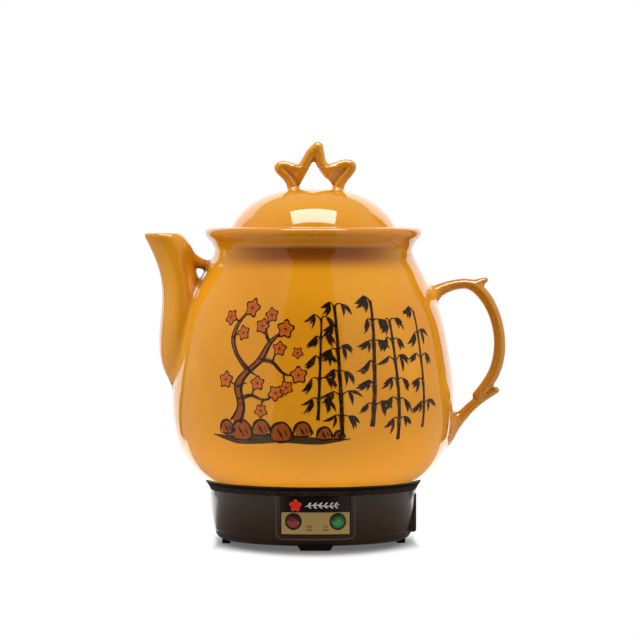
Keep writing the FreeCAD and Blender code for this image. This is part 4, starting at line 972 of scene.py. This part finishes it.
floorMesh = bpy.data.meshes.new("floor")
floorMesh.from_pydata([(-8, -8, 0), (8, -8, 0), (8, 8, 0), (-8, 8, 0)], [], [(0, 1, 2, 3)])
floor = addPiece("floor", floorMesh)
material, shader = newShader("floorPaper")
x, y = shader.parts(shader.place())[:2]
away, turn = (x * x + y * y).math("SQRT"), shader.azimuth(x, y)
seen = shader.node("ShaderNodeLightPath", {}, {}, "Is Camera Ray")
glossy = shader.node("ShaderNodeLightPath", {}, {}, "Is Glossy Ray")
table = shader.step(away, studio["tableEnd"] - 0.01, studio["tableEnd"] + 0.01)
near = shader.mix(glossy, grey(studio["tableNear"]), grey(studio["tableMirrored"]))
paper = shader.node("ShaderNodeBsdfDiffuse", {},
                    {"Color": shader.mix(table, near, grey(studio["tableFar"]))})
white = shader.node("ShaderNodeEmission", {}, {"Color": grey(1), "Strength": 1.0})
shaded = shader.node("ShaderNodeBsdfDiffuse", {}, {"Color": grey(studio["shadowPaper"])})
shaded = shader.node("ShaderNodeMixShader", {}, [studio["shadowFill"], shaded, white])
lit = shader.node("ShaderNodeMixShader", {}, [seen, paper, shaded])

# the shadow that the camera sees: longer towards the front, with sharper ends at the sides
across, deep = x * (1 / (studio["shadowAcross"] * mm)), y * (1 / (studio["shadowDeep"] * mm))
across, deep = across * across, deep * deep
apron = (across + deep + across * deep * studio["shadowCorner"]).math("SQRT")
ends = shader.step(abs(x * (1 / mm) - studio["shadowAside"]), *studio["shadowEnds"])
clear = shader.step(apron, *studio["shadowFade"]).math("MAXIMUM", ends)
lit = shader.node("ShaderNodeMixShader", {}, [clear * seen, lit, white])

# past the table's edge and behind the pot, gloss mirrors the room instead of the floor
slant = away.math("POWER", -1.0) * -studio["eyeHeight"]
mirrored = shader.node("ShaderNodeEmission", {}, {"Color": roomLevel(shader, turn, slant), "Strength": 1.0})
behind = shader.step(abs(turn), *studio["tableBehind"])
lit = shader.node("ShaderNodeMixShader", {}, [glossy * table.math("MAXIMUM", behind), lit, mirrored])
shader.node("ShaderNodeOutputMaterial", {}, {"Surface": lit})
floorMesh.materials.append(material)

world = bpy.data.worlds.new("studio")
bpy.context.scene.world = world
shader = Shader(world)
x, y, z = shader.parts(shader.node("ShaderNodeTexCoord", {}, {}, "Generated"))
seen = shader.node("ShaderNodeLightPath", {}, {}, "Is Camera Ray")
glossy = shader.node("ShaderNodeLightPath", {}, {}, "Is Glossy Ray")
through = shader.node("ShaderNodeLightPath", {}, {}, "Is Transmission Ray")
level = shader.between(glossy, studio["skyLight"], roomLevel(shader, shader.azimuth(x, y), z))
level = shader.between(seen.math("MAXIMUM", through), level, 1.0)
shader.node("ShaderNodeOutputWorld", {}, {
    "Surface": shader.node("ShaderNodeBackground", {}, {"Color": grey(1), "Strength": level})})


def addLamp(name, kind, place, aim, settings):
    data = bpy.data.lights.new(name, kind)
    for key, value in settings.items():
        setattr(data, key, value)
    lampObject = bpy.data.objects.new(name, data)
    lampObject.location = place
    lampObject.rotation_euler = turnedTo(place, aim)
    bpy.context.scene.collection.objects.link(lampObject)
    return lampObject


def addSun(name, turn, rise, power, angle):      # turn from the camera's side, in degrees
    turn, rise = math.radians(turn), math.radians(rise)
    place = (math.sin(turn) * math.cos(rise), -math.cos(turn) * math.cos(rise), math.sin(rise))
    made = addLamp(name, "SUN", place, (0, 0, 0), {"energy": power, "angle": math.radians(angle)})
    made.visible_glossy = False


mirroredBox = addLamp("mirroredBox", "AREA", studio["boxPlace"], studio["boxAim"],
                      {"shape": "RECTANGLE", "size": studio["box"][0], "size_y": studio["box"][1],
                       "energy": studio["boxPower"]})
mirroredBox.visible_diffuse = False
for name, side in (("leftSun", -1), ("rightSun", 1)):
    addSun(name, side * studio["sideTurn"], studio["sideRise"], studio["sideSun"], studio["sideSoft"])
addSun("topSun", 0, studio["topRise"], studio["topSun"], studio["topSoft"])

scene = bpy.context.scene
scene.view_settings.view_transform = "Standard"
scene.cycles.max_bounces = 8

print("scene ready")
